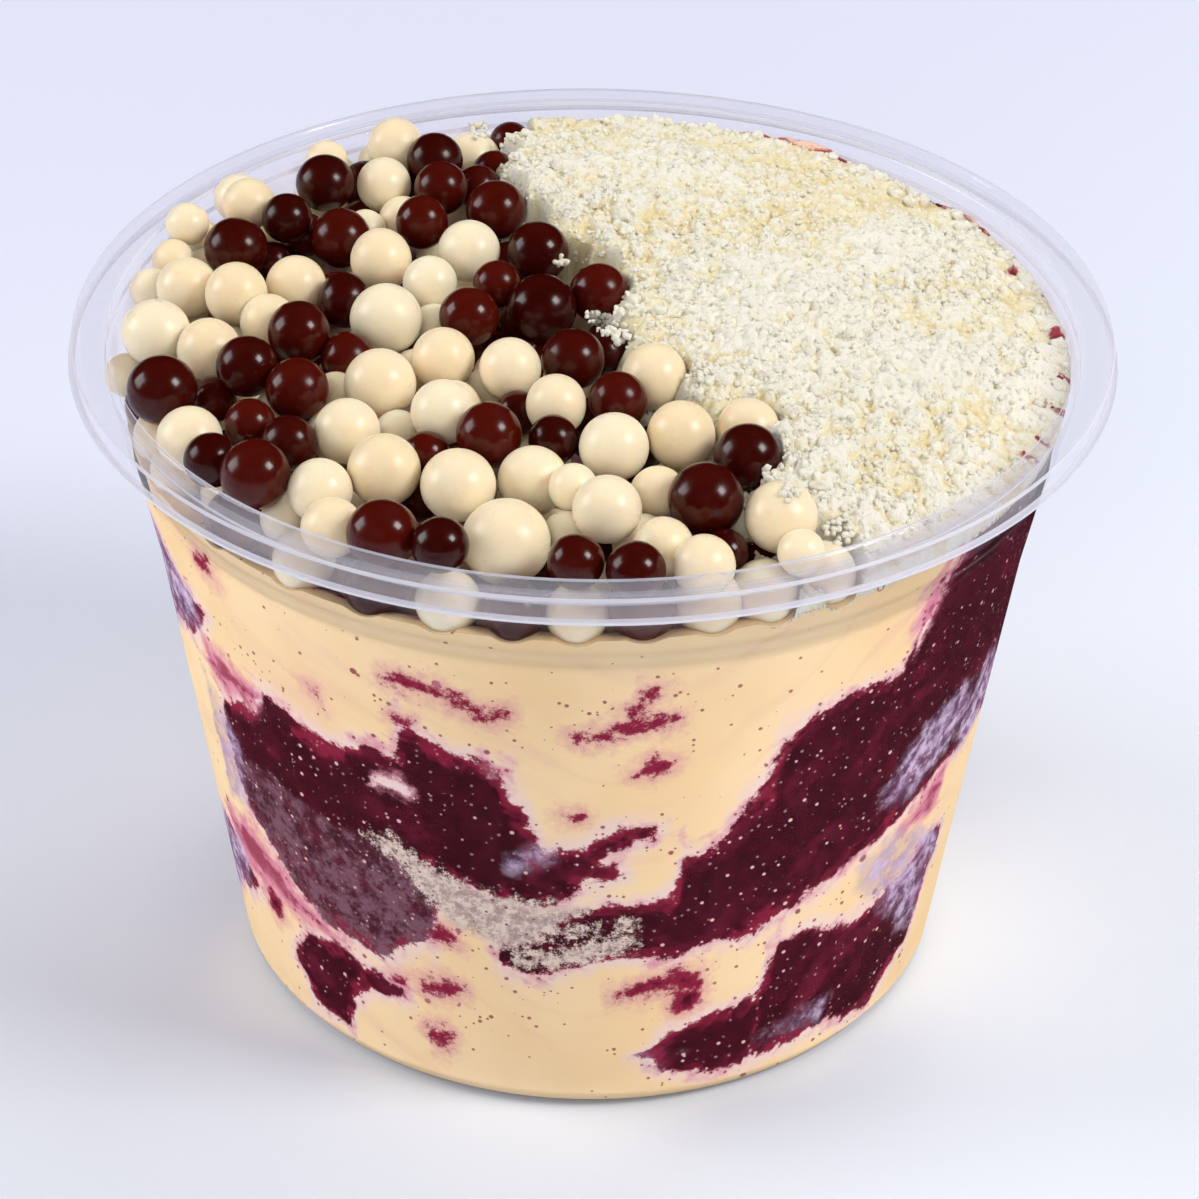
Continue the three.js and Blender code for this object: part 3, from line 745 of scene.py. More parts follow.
# Sizes of the filling's patterns.
CREAM_CLOUD = 15.0
BROAD_CLOUD = 6.0
FINE_GRAIN = 1.5
FIBRE = 1.5
WIDE_FIBRE = 4.5
FIBRE_STRETCH = 0.22
ACAI_GRAIN = 2.0
MOTTLE = 2.8
WISP = 2.4
SPECKLE = 1.1
GRIT_PITCH = 0.7
DROP_PITCH = 0.75
BLOT_PITCH = 1.7
FLECK_PITCH = 1.3


def filling_marks(shader):
    """The fields and noises that the filling's colours are mixed by."""
    keys = ("acai", "frost", "pale", "lavender", "pink", "streak", "spray")
    marks = SimpleNamespace(place=shader.place(), **{key: shader.attribute(key) for key in keys})
    across, along, _ = shader.add("ShaderNodeSeparateXYZ", Vector=marks.place).outputs
    drawn = shader.add("ShaderNodeCombineXYZ", X=shader.times(across, FIBRE_STRETCH),
                       Y=shader.times(along, FIBRE_STRETCH), Z=shader.attribute("flow")).outputs[0]
    marks.fine = shader.even(shader.noise(marks.place, FINE_GRAIN, 5, 0.8))
    marks.broad = shader.even(shader.noise(marks.place, BROAD_CLOUD, 3, 0.6))
    marks.fibre = shader.even(shader.noise(drawn, FIBRE, 4, 0.62))
    marks.wide_fibre = shader.even(shader.noise(drawn, WIDE_FIBRE, 3, 0.55))
    marks.edge = shader.moved(marks.acai, (marks.fine, 3.4), (marks.fibre, 1.7))
    marks.grit = shader.dots(marks.place, GRIT_PITCH, 0.3, 0.45)
    return marks


def cream_colour(shader, marks):
    """Cream, blushed along the flow, stained pink where acai is near, and dotted and streaked with acai."""
    mix, span, moved = shader.mix, shader.span, shader.moved
    cream = mix(span(shader.noise(marks.place, CREAM_CLOUD, 2), 0.3, 0.7), CREAM_PALE, CREAM_WARM)
    cream = mix(span(marks.wide_fibre, 0.0, 0.25, 0.0, 0.45), cream, CREAM_BLUSH)
    cream = mix(span(marks.edge, -2.6, -0.1, 0.0, 0.85), cream, HALO_PALE)
    halo = span(moved(marks.edge, (marks.broad, 9.0), (marks.fibre, 3.0)), -1.2, 1.6, 0.0, 0.8)
    smudge = moved(marks.pink, (marks.broad, 5.0), (marks.fibre, 6.0), (marks.fine, 4.0))
    cream = mix(shader.larger(halo, span(smudge, -1.6, 2.0)), cream, STAIN_PINK)
    cream = mix(span(smudge, 1.6, 3.4, 0.0, 0.8), cream, STAIN_RED)
    near = span(moved(marks.edge, (marks.broad, 4.0)), -3.4, -0.2, 0.05, 0.4)
    crowd = shader.larger(near, marks.spray)
    drops = shader.dots(marks.place, DROP_PITCH, 0.36, crowd)
    blots = shader.dots(marks.place, BLOT_PITCH, 0.32, shader.times(crowd, 0.7))
    cream = mix(shader.times(drops, 0.8), cream, STAIN_RED)
    cream = mix(shader.times(blots, 0.85), cream, STAIN_RED)
    line = moved(marks.streak, (marks.fine, 5.4), (marks.fibre, 1.8))
    cream = mix(span(line, -2.6, 0.3, 0.0, 0.65), cream, STAIN_PINK)
    cream = mix(span(line, -0.5, 0.4), cream, STAIN_RED)
    return mix(span(line, 0.7, 1.8), cream, ACAI_MID)


def acai_colour(shader, marks):
    """Acai: red at its thin edges, dark and finely flecked inside, and frosted in places."""
    mix, span, moved = shader.mix, shader.span, shader.moved
    acai = mix(span(shader.noise(marks.place, ACAI_GRAIN, 4, 0.85), 0.36, 0.66), ACAI_DEEP, ACAI_MID)
    glow = span(moved(marks.wide_fibre, (marks.broad, 0.8), (marks.fine, 0.5)), -0.02, 0.30, 0.0, 0.8)
    acai = mix(glow, acai, ACAI_RED)
    blush = span(moved(marks.pink, (marks.fine, 3.5), (marks.fibre, 2.5)), -0.2, 1.5, 0.0, 0.85)
    acai = mix(blush, acai, STAIN_PINK)
    acai = mix(span(moved(marks.pink, (marks.fine, 4.0)), 0.5, 1.6), acai, HALO_PALE)
    thin = span(moved(marks.edge, (marks.broad, 8.0), (marks.fibre, 3.0)), -0.4, 1.8, 0.9, 0.0)
    acai = mix(thin, acai, STAIN_RED)
    veil = span(moved(marks.frost, (marks.fine, 2.0), (marks.broad, 3.0)), -0.6, 1.4)
    mottled = span(shader.noise(marks.place, MOTTLE, 4, 0.8), 0.40, 0.60, 0.1, 1.0)
    acai = mix(shader.times(veil, mottled), acai, FROST_GREY)
    flecks = shader.larger(shader.times(marks.grit, 0.35), shader.dots(marks.place, FLECK_PITCH, 0.2, 0.75))
    return mix(shader.times(flecks, 0.9), acai, SPECK_PALE)


def lavender_over(shader, marks, colour):
    """Thin cloudy wisps where the cream has spread over the acai."""
    wisp = shader.moved(shader.noise(marks.place, WISP, 4, 0.72), (marks.fibre, 0.45))
    bloom = shader.span(shader.moved(marks.lavender, (marks.broad, 4.0), (marks.fine, 3.0)), -1.4, 1.8)
    bright = shader.span(shader.moved(wisp, (marks.broad, 0.5)), 0.34, 0.70)
    tint = shader.mix(bright, LAVENDER_DEEP, LAVENDER_PALE)
    return shader.mix(shader.times(bloom, shader.span(wisp, 0.36, 0.62, 0.3, 1.0)), colour, tint)


def wedge_over(shader, marks, colour):
    """Pale grainy patches where acai and cream are broken up."""
    speckled = shader.noise(marks.place, SPECKLE, 4, 0.85)
    chalk = shader.span(shader.moved(marks.pale, (shader.even(speckled), 7.0), (marks.fine, 2.0)), -0.2, 1.0)
    wedge = shader.mix(shader.span(speckled, 0.40, 0.60), WEDGE_GREY, WEDGE_PALE)
    wedge = shader.mix(shader.times(marks.grit, 0.85), wedge, ACAI_RED)
    return shader.mix(chalk, colour, wedge)


def filling_material(name, roughness):
    """Acai swirled through cream. Both fillings share these colours, so that no seam shows between them."""
    shader = Shader(name)
    marks = filling_marks(shader)
    is_acai = shader.span(marks.edge, -0.22, 0.22)
    colour = shader.mix(is_acai, cream_colour(shader, marks), acai_colour(shader, marks))
    colour = lavender_over(shader, marks, colour)
    colour = wedge_over(shader, marks, colour)
    return shader.surface(Base_Color=colour, Roughness=roughness, Specular_IOR_Level=FILLING_SPECULAR)


def make_filling():
    """Acai as the filling's core, reaching the wall where it shows, and cream as the lining between them."""
    points, triangles, on_top = fill_surface()
    normals = vertex_normals(points, triangles)
    fields = fill_fields(points, on_top)
    acai, cream, points, fields, normals = split_along(triangles, points, fields, normals, "acai")
    lining = np.clip(-fields["acai"] * 1.2, 0, LINING)
    sunk = points - normals * lining[:, None]
    reach = off_axis(sunk)
    most = fill_radius(sunk[:, 2]) - 0.7 * lining
    sunk[:, :2] *= np.minimum(1, most / np.maximum(reach, 1))[:, None]
    body = mesh_piece("acai_core", sunk, np.concatenate([acai, cream]), filling_material("acai", 0.4),
                      normals, fields)
    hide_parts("acai")
    count = len(points)
    is_edge = np.zeros(count, bool)
    is_edge[np.intersect1d(acai, cream)] = True
    inner = np.where(is_edge, np.arange(count), np.arange(count) + count)
    faces = np.concatenate([cream, inner[cream][:, ::-1]])
    used, faces = np.unique(faces, return_inverse=True)
    doubled = {key: np.tile(values, 2)[used] for key, values in fields.items()}
    lining_points = np.vstack([points, sunk])[used]
    piece = mesh_piece("cream_lining", lining_points, faces.reshape(-1, 3), filling_material("cream", 0.35),
                       np.vstack([normals, normals])[used], doubled)
    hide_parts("cream")


# ---- Chocolate balls ---------------------------------------------------------------------------

# Balls that show, as [x, y, radius] in pixels of the photograph.
DARK_TOP = [
    (325, 183, 29), (434, 158, 28), (441, 188, 27), (422, 222, 27), (236, 248, 31), (287, 218, 25),
    (341, 238, 30), (345, 300, 28), (297, 327, 32), (246, 363, 31), (297, 389, 32), (162, 390, 36),
    (250, 424, 26), (289, 443, 28), (211, 460, 28), (255, 474, 36), (496, 210, 30), (538, 251, 31),
    (497, 284, 24), (542, 307, 35), (599, 293, 30), (469, 316, 30), (573, 358, 32), (618, 401, 30),
    (489, 435, 34), (553, 440, 26), (748, 456, 35), (706, 500, 38), (440, 545, 29), (382, 534, 36),
    (576, 562, 29), (637, 577, 30),
]
WHITE_TOP = [
    (381, 260, 32), (430, 284, 28), (386, 318, 36), (380, 384, 36), (443, 358, 32), (347, 431, 33),
    (296, 286, 31), (235, 299, 32), (187, 289, 31), (156, 334, 34), (209, 350, 32), (269, 322, 28),
    (190, 439, 33), (384, 470, 37), (384, 185, 28), (396, 150, 28), (248, 202, 26), (469, 250, 32),
    (510, 368, 31), (654, 376, 34), (556, 405, 31), (443, 412, 33), (614, 447, 35), (681, 435, 35),
    (748, 430, 32), (458, 485, 38), (533, 480, 35), (607, 509, 35), (506, 542, 45), (663, 547, 31),
    (781, 517, 37), (658, 493, 28), (573, 488, 25), (709, 577, 32), (332, 527, 31), (320, 491, 33),
]
DARK_UNDER = [
    (298, 242, 22), (363, 211, 20), (246, 236, 25), (345, 357, 27), (215, 397, 20), (520, 409, 20),
    (706, 405, 22), (427, 451, 18), (415, 496, 22), (715, 547, 20), (756, 567, 20), (462, 146, 18),
    (272, 262, 16),
]
WHITE_UNDER = [
    (397, 216, 24), (349, 167, 22), (211, 228, 25), (185, 252, 21), (163, 259, 19), (150, 299, 22),
    (489, 389, 24), (558, 526, 18), (281, 519, 25), (399, 430, 20), (806, 557, 20), (731, 529, 20),
    (287, 192, 21), (303, 175, 15), (336, 394, 18), (371, 229, 16), (137, 376, 18), (151, 272, 14),
    (430, 322, 18),
]
# Balls against the wall that show through it: [x in the photograph, whether it is dark], from left to right.
WALL_ROW = [
    (188, False), (240, True), (305, False), (377, True), (448, False), (515, True), (577, False),
    (642, True), (708, False), (764, False), (822, False),
]
WALL_ROW_PIXEL = 606
WALL_ROW_RADII = (3.2, 3.5)
WALL_ROW_SUNK = 2.1
WALL_ROW_DARK_SHARE = 0.3
HEAP_CROWN = 76.6
HEAP_EDGE = 74.2
HEAP_RADIUS = 46.5
UNDER_DROP = 3.0
SMALLEST_UNDER = 2.4
HEAP_TOP = 79.6
BALL_SINKS = 0.3
RELAX_STEPS = 500
LONGEST_STEP = 0.4
TOUCHING = 0.985
WALL_GAP = 0.2
# Share of a crossing by which a ball gives way to one of its own layer, a lower layer and an upper one.
YIELDS = (0.5, 0.15, 0.85)
# For the top layer and for those under it: sideways move for each crossing, and pull back to the sight line.
SIDEWAYS = (0.06, 0.5)
PULL_BACK = (0.12, 0.02)
# A slide is a crossing over the cosine between the sight line and the way out, but over no less than this.
LEAST_SLANT = 0.35
# Balls slide off the wall only where their sight line leans towards it by more than this.
LEAST_WALL_SLANT = 0.25
# Shares of what is left that a step makes up: along the sight line and straight off the wall, back to the
# heap's height, down from its top and up from the filling.
WALL_SLIDE = 0.6
WALL_PUSH = 0.4
HEIGHT_PULL = 0.02
TOP_PUSH = 0.8
FLOOR_PUSH = 0.5
TOP_MARGIN = 1.03
# Subdivisions of the balls that show and of those under them.
SEEN_DETAIL = 4
HIDDEN_DETAIL = 3
BALL_SIZE = 0.995
BALL_SQUASH = 0.015
BALL_LUMPS = 0.006


def heap_height(x, y):
    """Height of the heap's visible ball centres."""
    return HEAP_CROWN - (HEAP_CROWN - HEAP_EDGE) * (x * x + y * y) / HEAP_RADIUS ** 2


def seen_balls():
    """Every ball that the photograph shows: centre, radius, whether it is dark, layer and sight line."""
    groups = ((DARK_TOP, True, 0), (WHITE_TOP, False, 0), (DARK_UNDER, True, 1), (WHITE_UNDER, False, 1))
    centres, radii, dark, layers, lines = [], [], [], [], []
    for pixels, is_dark, layer in groups:
        for pixel_x, pixel_y, pixel_radius in pixels:
            line = sight_line(pixel_x, pixel_y)
            height = HEAP_CROWN
            for _ in range(8):
                centre = EYE + line * (height - EYE[2]) / line[2]
                height = heap_height(*centre[:2]) - UNDER_DROP * layer
            radius = pixel_radius * np.linalg.norm(centre - EYE) / FOCAL_PIXELS
            centres.append(centre)
            radii.append(max(radius, SMALLEST_UNDER))
            dark.append(is_dark)
            layers.append(layer)
            lines.append(-line)
    row_centres, row_radii, row_dark = WALL_BALLS
    centres.extend(row_centres)
    radii.extend(row_radii)
    dark.extend(row_dark)
    layers.extend([2] * len(row_radii))
    lines.extend([np.array([0.0, 0.0, 1.0])] * len(row_radii))
    return np.array(centres), np.array(radii), np.array(dark), np.array(layers), np.array(lines)


def at_wall(x, y):
    """The place straight out from a point, at the wall."""
    return x * MOUND_RADIUS / np.hypot(x, y), y * MOUND_RADIUS / np.hypot(x, y)


def wall_row():
    """Balls sunk a little into the filling, against the wall: centres, radii and whether they are dark."""
    rng = np.random.default_rng(SEED)
    wall = inside_radius(FILL_LEVEL) - 0.1
    turns, radii, dark = [], [], []
    for pixel_x, is_dark in WALL_ROW:
        line = sight_line(pixel_x, WALL_ROW_PIXEL)
        radius = rng.uniform(*WALL_ROW_RADII)
        flat = line[:2] / np.hypot(*line[:2])
        closest = EYE[:2] - (EYE[:2] @ flat) * flat
        x, y = closest - flat * math.sqrt(max((wall - radius) ** 2 - closest @ closest, 0))
        turns.append(math.atan2(y, x))
        radii.append(radius)
        dark.append(is_dark)
    turn, radius = turns[0], radii[0]
    while True:
        next_radius = rng.uniform(*WALL_ROW_RADII)
        turn -= (radius + next_radius) / (wall - radius)
        radius = next_radius
        if past_divide(wall * math.cos(turn), wall * math.sin(turn)) > -radius:
            break
        turns.append(turn)
        radii.append(radius)
        dark.append(rng.random() < WALL_ROW_DARK_SHARE)
    turns, radii = np.array(turns), np.array(radii)
    x, y = (wall - radii) * np.cos(turns), (wall - radii) * np.sin(turns)
    return np.stack([x, y, soft_level(*at_wall(x, y)) - WALL_ROW_SUNK + radii], axis=1), radii, dark


WALL_BALLS = wall_row()


def off_each_other(points, radii, lines, yields, sideways):
    """How far each ball moves off the ones that it crosses."""
    apart = points[:, None] - points[None]
    distance = np.linalg.norm(apart, axis=-1) + 1e3 * np.eye(len(points))
    crossing = np.maximum((radii[:, None] + radii[None]) * TOUCHING - distance, 0)
    direction = apart / distance[..., None]
    along = np.einsum("ijk,ik->ij", direction, lines)
    side = np.where(along == 0, 1, np.sign(along))
    slide = (side * crossing * yields / np.maximum(np.abs(along), LEAST_SLANT)).sum(axis=1)
    lateral = ((direction - along[..., None] * lines[:, None]) * crossing[..., None]).sum(axis=1)
    return slide[:, None] * lines + lateral * sideways


def off_the_wall(points, radii, lines):
    """How far each ball moves off the pot's wall."""
    reach = off_axis(points)
    over = np.maximum(reach + radii + WALL_GAP - inside_radius(points[:, 2]), 0)
    outward = np.stack([points[:, 0] / reach, points[:, 1] / reach, np.zeros(len(points))], axis=1)
    towards = -(outward * lines).sum(axis=1)
    slide = np.where(np.abs(towards) > LEAST_WALL_SLANT, np.sign(towards) * over * WALL_SLIDE, 0)
    return slide[:, None] * lines - outward * (WALL_PUSH * over)[:, None]


def settled(centres, radii, layers, lines):
    """Slides balls along their sight lines until none cross each other or the wall."""
    points = centres.copy()
    order = layers[:, None] - layers[None]
    same, to_lower, to_upper = YIELDS
    yields = np.where(order == 0, same, np.where(order < 0, to_lower, to_upper))
    yields[:, layers == 2] = 1.0
    is_under = (layers > 0)[:, None]
    sideways, pull = (np.where(is_under, under, top) for top, under in (SIDEWAYS, PULL_BACK))
    for _ in range(RELAX_STEPS):
        move = off_each_other(points, radii, lines, yields, sideways)
        move += off_the_wall(points, radii, lines)
        wanted = heap_height(*points.T[:2]) - UNDER_DROP * layers
        move += lines * ((wanted - points[:, 2]) * HEIGHT_PULL)[:, None]
        too_high = np.maximum(points[:, 2] + radii - HEAP_TOP, 0)
        move -= lines * (too_high * TOP_PUSH)[:, None]
        low = fill_level(*points.T[:2]) + radii - BALL_SINKS
        move[:, 2] += np.maximum(low - points[:, 2], 0) * FLOOR_PUSH
        back = centres - points
        back -= (back * lines).sum(axis=1)[:, None] * lines
        move += back * pull
        points += np.clip(move, -LONGEST_STEP, LONGEST_STEP) * (layers < 2)[:, None]
    points[:, 2] = np.minimum(points[:, 2], HEAP_TOP - radii * TOP_MARGIN)
    return points


HIDDEN_RADII = (2.5, 3.5)
HIDDEN_TRIES = 30000
HIDDEN_HEIGHT = 6.0
DARK_SHARE = 0.5


def hidden_balls(centres, radii, dark):
    """Fills the heap under the balls that show, wherever there is room."""
    rng = np.random.default_rng(SEED)
    centres, radii, dark = list(centres), list(radii), list(dark)

    def try_ball(x, y, z, radius):
        """Adds a ball if it fits."""
        is_in_pot = math.hypot(x, y) + radius + 0.1 < inside_radius(z)
        is_under = z < heap_height(x, y) - 0.8
        is_left = past_divide(x, y) + radius < 0.5
        if not (is_in_pot and is_under and is_left):
            return
        gaps = np.linalg.norm(np.array(centres) - (x, y, z), axis=1) - np.array(radii) - radius
        if gaps.min() > -0.12 * radius:
            centres.append(np.array([x, y, z]))
            radii.append(radius)
            dark.append(rng.random() < DARK_SHARE)

    for _ in range(HIDDEN_TRIES):
        radius = rng.uniform(*HIDDEN_RADII)
        x, y = rng.uniform(-MOUND_RADIUS, MOUND_RADIUS, 2)
        z = soft_level(x, y) + radius + rng.random() ** 2 * HIDDEN_HEIGHT - BALL_SINKS
        try_ball(x, y, z, radius)
    return np.array(centres), np.array(radii), np.array(dark)


def unit_ball(subdivisions):
    """Points and triangles of a sphere of radius 1."""
    mesh = bpy.data.meshes.new("unit_ball")
    builder = bmesh.new()
    bmesh.ops.create_icosphere(builder, subdivisions=subdivisions, radius=1)
    builder.to_mesh(mesh)
    builder.free()
    points = np.array([vertex.co for vertex in mesh.vertices])
    triangles = np.array([tuple(face.vertices) for face in mesh.polygons])
    bpy.data.meshes.remove(mesh)
    return points, triangles


DARK_COLOURS = ((0.028, 0.0014, 0.0006), (0.074, 0.0045, 0.0018))
DARK_BLUSH = (0.14, 0.020, 0.009)
DARK_ROUGHNESS = (0.17, 0.28)
DARK_SPECULAR = 0.32
WHITE_COLOURS = ((0.90, 0.725, 0.47), (0.945, 0.81, 0.59))
WHITE_BLUSH = (0.95, 0.87, 0.70)
WHITE_ROUGHNESS = (0.26, 0.38)
WHITE_SPECULAR = 0.45
WHITE_GLOW = 0.6
GLOW_REACH = (1.0, 0.55, 0.28)
GLOW_SCALE = 0.0018


def ball_material(name, colours, blush, roughness, specular, glow):
    """Glazed chocolate: a soft sheen, faint rubs, uneven colour, and in white balls a glow from inside."""
    shader = Shader(name)
    place = shader.place()
    cloud = shader.noise(place, 4.0, 3, 0.6)
    tone = shader.moved(shader.times(shader.attribute("tone"), 0.6), (cloud, 0.5))
    colour = shader.mix(shader.span(tone, 0.1, 0.9), *colours)
    rub = shader.span(shader.noise(place, 1.1, 4, 0.7, 1.5), 0.62, 0.78, 0.0, 0.3)
    colour = shader.mix(rub, colour, blush)
    shine = shader.span(shader.noise(place, 2.5, 3), 0.3, 0.75, *roughness)
    return shader.surface(Base_Color=colour, Roughness=shine, Specular_IOR_Level=specular,
                          Subsurface_Weight=glow, Subsurface_Radius=GLOW_REACH, Subsurface_Scale=GLOW_SCALE)


def make_balls():
    """Two pieces of round balls, dark and white. Returns every ball's centre and radius."""
    centres, radii, dark, layers, lines = seen_balls()
    centres = settled(centres, radii, layers, lines)
    seen = len(centres)
    centres, radii, dark = hidden_balls(centres, radii, dark)
    rng = np.random.default_rng(SEED + 1)
    dark_looks = ("dark_chocolate", DARK_COLOURS, DARK_BLUSH, DARK_ROUGHNESS, DARK_SPECULAR, 0.0)
    white_looks = ("white_chocolate", WHITE_COLOURS, WHITE_BLUSH, WHITE_ROUGHNESS, WHITE_SPECULAR, WHITE_GLOW)
    for name, looks, is_kind in (("dark_balls", dark_looks, dark), ("white_balls", white_looks, ~dark)):
        points, faces, tones = [], [], []
        for ball in np.flatnonzero(is_kind):
            ball_points, ball_triangles = unit_ball(SEEN_DETAIL if ball < seen else HIDDEN_DETAIL)
            squash = 1 + BALL_SQUASH * rng.standard_normal(3)
            lumps = 1 + BALL_LUMPS * wobble(ball_points * 3 + ball, 2.0, 12)
            faces.append(ball_triangles + sum(map(len, points)))
            points.append(centres[ball] + ball_points * squash * lumps[:, None] * radii[ball] * BALL_SIZE)
            tones.append(np.full(len(ball_points), rng.random()))
        piece = mesh_piece(name, np.concatenate(points), np.concatenate(faces), ball_material(*looks),
                           attributes={"tone": np.concatenate(tones)})
        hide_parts("chocolate_balls")
    return centres, radii


def repeated(faces, count, points_each):
    """The same faces once for each of many joined copies of a mesh."""
    shift = np.arange(count)[:, None, None] * points_each
    return (faces[None] + shift).reshape(-1, faces.shape[1])


# ---- Milk powder -------------------------------------------------------------------------------

POWDER_PITCH = 0.1985
POWDER_CROWN = 78.0
POWDER_EDGE = 72.0
POWDER_EDGE_TIP = 2.2
POWDER_EDGE_TOWARDS = math.radians(105)
POWDER_STEEPNESS = 5
POWDER_BANK = 1.5
POWDER_REACH = 5.4
POWDER_RADIUS = 49.6
POWDER_TOP = 79.65
POWDER_OVERLAP = 0.15
POWDER_SUNK = 0.4
# Crumbs on the mound: [size, height, share of the height that only crumbly places have].
CRUMBS = [(2.1, 0.40, 1.0), (1.1, 0.42, 0.6), (0.6, 0.30, 0.4)]
RIDGE_HEIGHT = 1.25
RELIEF_DROP = 0.4
POWDER_JITTER = 0.1
POWDER_GRAIN = 0.45
POWDER_BUMP = 0.3
# The powder's white, the paler and deeper yellow of the painted shade in its hollows, and its acai stain.
POWDER_WHITE = (0.97, 0.93, 0.80)
POWDER_HALF_SHADE = (0.94, 0.83, 0.54)
POWDER_SHADE_YELLOW = (0.89, 0.71, 0.36)
POWDER_STAIN = (0.42, 0.06, 0.09)
# Places where acai has soaked into the powder, as [x, y, radius] in pixels of the photograph.
STAINS = [
    (1010, 272, 7), (1030, 268, 8), (1057, 345, 8), (1060, 385, 6), (1052, 415, 7), (1022, 455, 5),
    (1035, 440, 4), (1046, 300, 4), (985, 232, 5),
]
# How many loose grains and clumps are tried, their sizes and their subdivisions.
GRAINS = 5000
GRAIN_SIZES = (0.18, 0.42)
GRAIN_DETAIL = 1
CLUMPS = 240
CLUMP_SIZES = (0.35, 0.95)
CLUMP_DETAIL = 3
SPILLED_SIZES = (0.2, 0.5)
# Little heaps of crumbs on the balls and at the powder's edge: [x, y, radius] in pixels, number of grains.
SPILLS = [
    ((607, 326, 11), 46), ((622, 338, 8), 20), ((592, 316, 6), 12), ((769, 474, 7), 22), ((790, 492, 9), 16),
    ((838, 532, 14), 30), ((560, 262, 7), 10), ((700, 372, 8), 12), ((480, 130, 10), 16),
]


def powder_base(x, y):
    """Height of the powder before its lumps and grains."""
    reach = np.minimum(np.hypot(x, y) / MOUND_RADIUS, 1)
    edge = POWDER_EDGE + POWDER_EDGE_TIP * np.cos(np.arctan2(y, x) - POWDER_EDGE_TOWARDS)
    height = POWDER_CROWN - (POWDER_CROWN - edge) * reach ** POWDER_STEEPNESS
    bank = 1 - np.exp(-np.maximum(past_divide(x, y) + POWDER_REACH, 0) / POWDER_BANK)
    low = soft_level(x, y)
    return low + (height - low) * bank


def soft_relief(flat):
    """Broad soft ridges and lumps of the powder, from about -1 to 1."""
    stretched = flat * (0.6, 1.0, 1.0)
    ridges = 0.5 - np.abs(wobble(stretched, 10.0, 24)) * 2
    return (wobble(stretched, 14.0, 21) * 0.7 + ridges * 0.4 + wobble(stretched, 5.5, 22) * 0.55
            + wobble(flat, 2.6, 23) * 0.35)


def crumb_relief(flat, size):
    """Height of crumbs of about one size, heaped at random, from about -1 to 1."""
    heights = []
    for point in (flat / size).tolist():
        distances, centres = noise.voronoi(Vector(point))
        dome = 1 - (distances[0] * 1.3) ** 2
        heights.append(0.6 * dome + 0.55 * noise.cell(centres[0] * 37.7))
    return np.array(heights)


def powder_material():
    """Dry milk powder: almost white on its ridges and grains, and painted yellow shade between them."""
    shader = Shader("milk_powder")
    fine = shader.noise(shader.place(), POWDER_GRAIN, 4, 0.8)
    # The deeper a point lies in the hollows, the more painted yellow shade it takes, broken up by fine noise.
    depth = shader.moved(shader.attribute("hollow"), (shader.even(fine), 1.7))
    colour = shader.mix(shader.span(depth, 0.15, 0.55), POWDER_WHITE, POWDER_HALF_SHADE)
    colour = shader.mix(shader.span(depth, 0.50, 1.0), colour, POWDER_SHADE_YELLOW)
    stain = shader.moved(shader.attribute("stain"), (shader.even(fine), 1.2))
    colour = shader.mix(shader.span(stain, 0.25, 0.75), colour, POWDER_STAIN)
    relief = shader.bump(fine, POWDER_BUMP)
    return shader.surface(Base_Color=colour, Roughness=0.9, Normal=relief, Specular_IOR_Level=0.1)


def on_powder(line):
    """Where a sight line meets the powder."""
    far = (POWDER_EDGE - EYE[2]) / line[2]
    for _ in range(12):
        far = (float(powder_base(*(EYE + line * far)[:2])) - EYE[2]) / line[2]
    return EYE + line * far


def stain_share(points):
    """Where acai has soaked into the powder, from 0 to 1."""
    share = np.zeros(len(points))
    for pixel_x, pixel_y, pixel_radius in STAINS:
        middle = on_powder(sight_line(pixel_x, pixel_y))
        radius = pixel_radius * np.linalg.norm(middle - EYE) / FOCAL_PIXELS
        share = np.maximum(share, np.exp(-(np.hypot(*(points - middle)[:, :2].T) / radius) ** 2 / 2))
    return share


def to_wall(flat, height):
    """How far to spread the powder's outermost points, so that they reach just into the pot's wall."""
    reach = np.maximum(off_axis(flat), 1)
    outermost = POWDER_RADIUS - 0.2
    share = smooth_step(reach, POWDER_RADIUS - 2.5, outermost)
    return 1 + share * ((inside_radius(height) + POWDER_OVERLAP) / np.maximum(reach, outermost) - 1)


def powder_grid():
    """Flat points of a fine grid over the powder, and its quads."""
    steps = np.arange(-MOUND_RADIUS, MOUND_RADIUS + POWDER_PITCH, POWDER_PITCH)
    x, y = (axis.ravel() for axis in np.meshgrid(steps, steps, indexing="ij"))
    flat = np.stack([x, y, np.zeros_like(x)], axis=1)
    edge_noise = 1.1 * wobble(flat, 2.6, 31) + 0.8 * wobble(flat, 1.0, 32)
    is_powder = (past_divide(x, y) > 0.3 - POWDER_REACH + edge_noise) & (np.hypot(x, y) < POWDER_RADIUS)
    quads = grid_quads(len(steps), len(steps))[:, [0, 3, 2, 1]]
    used, quads = np.unique(quads[is_powder[quads].all(axis=1)], return_inverse=True)
    return flat[used], quads.reshape(-1, 4)


def closing_faces(quads, count):
    """Sides and underside of a sheet of quads, whose underside's points and middle follow its own points."""
    edges = np.concatenate([quads[:, [i, (i + 1) % 4]] for i in range(4)])
    is_rim = ~np.isin(edges[:, 0] * count + edges[:, 1], edges[:, 1] * count + edges[:, 0])
    rim = edges[is_rim]
    sides = np.stack([rim[:, 1], rim[:, 0], rim[:, 0] + count, rim[:, 1] + count], axis=1)
    under = np.stack([rim[:, 1] + count, rim[:, 0] + count, np.full(len(rim), 2 * count)], axis=1)
    return sides, under


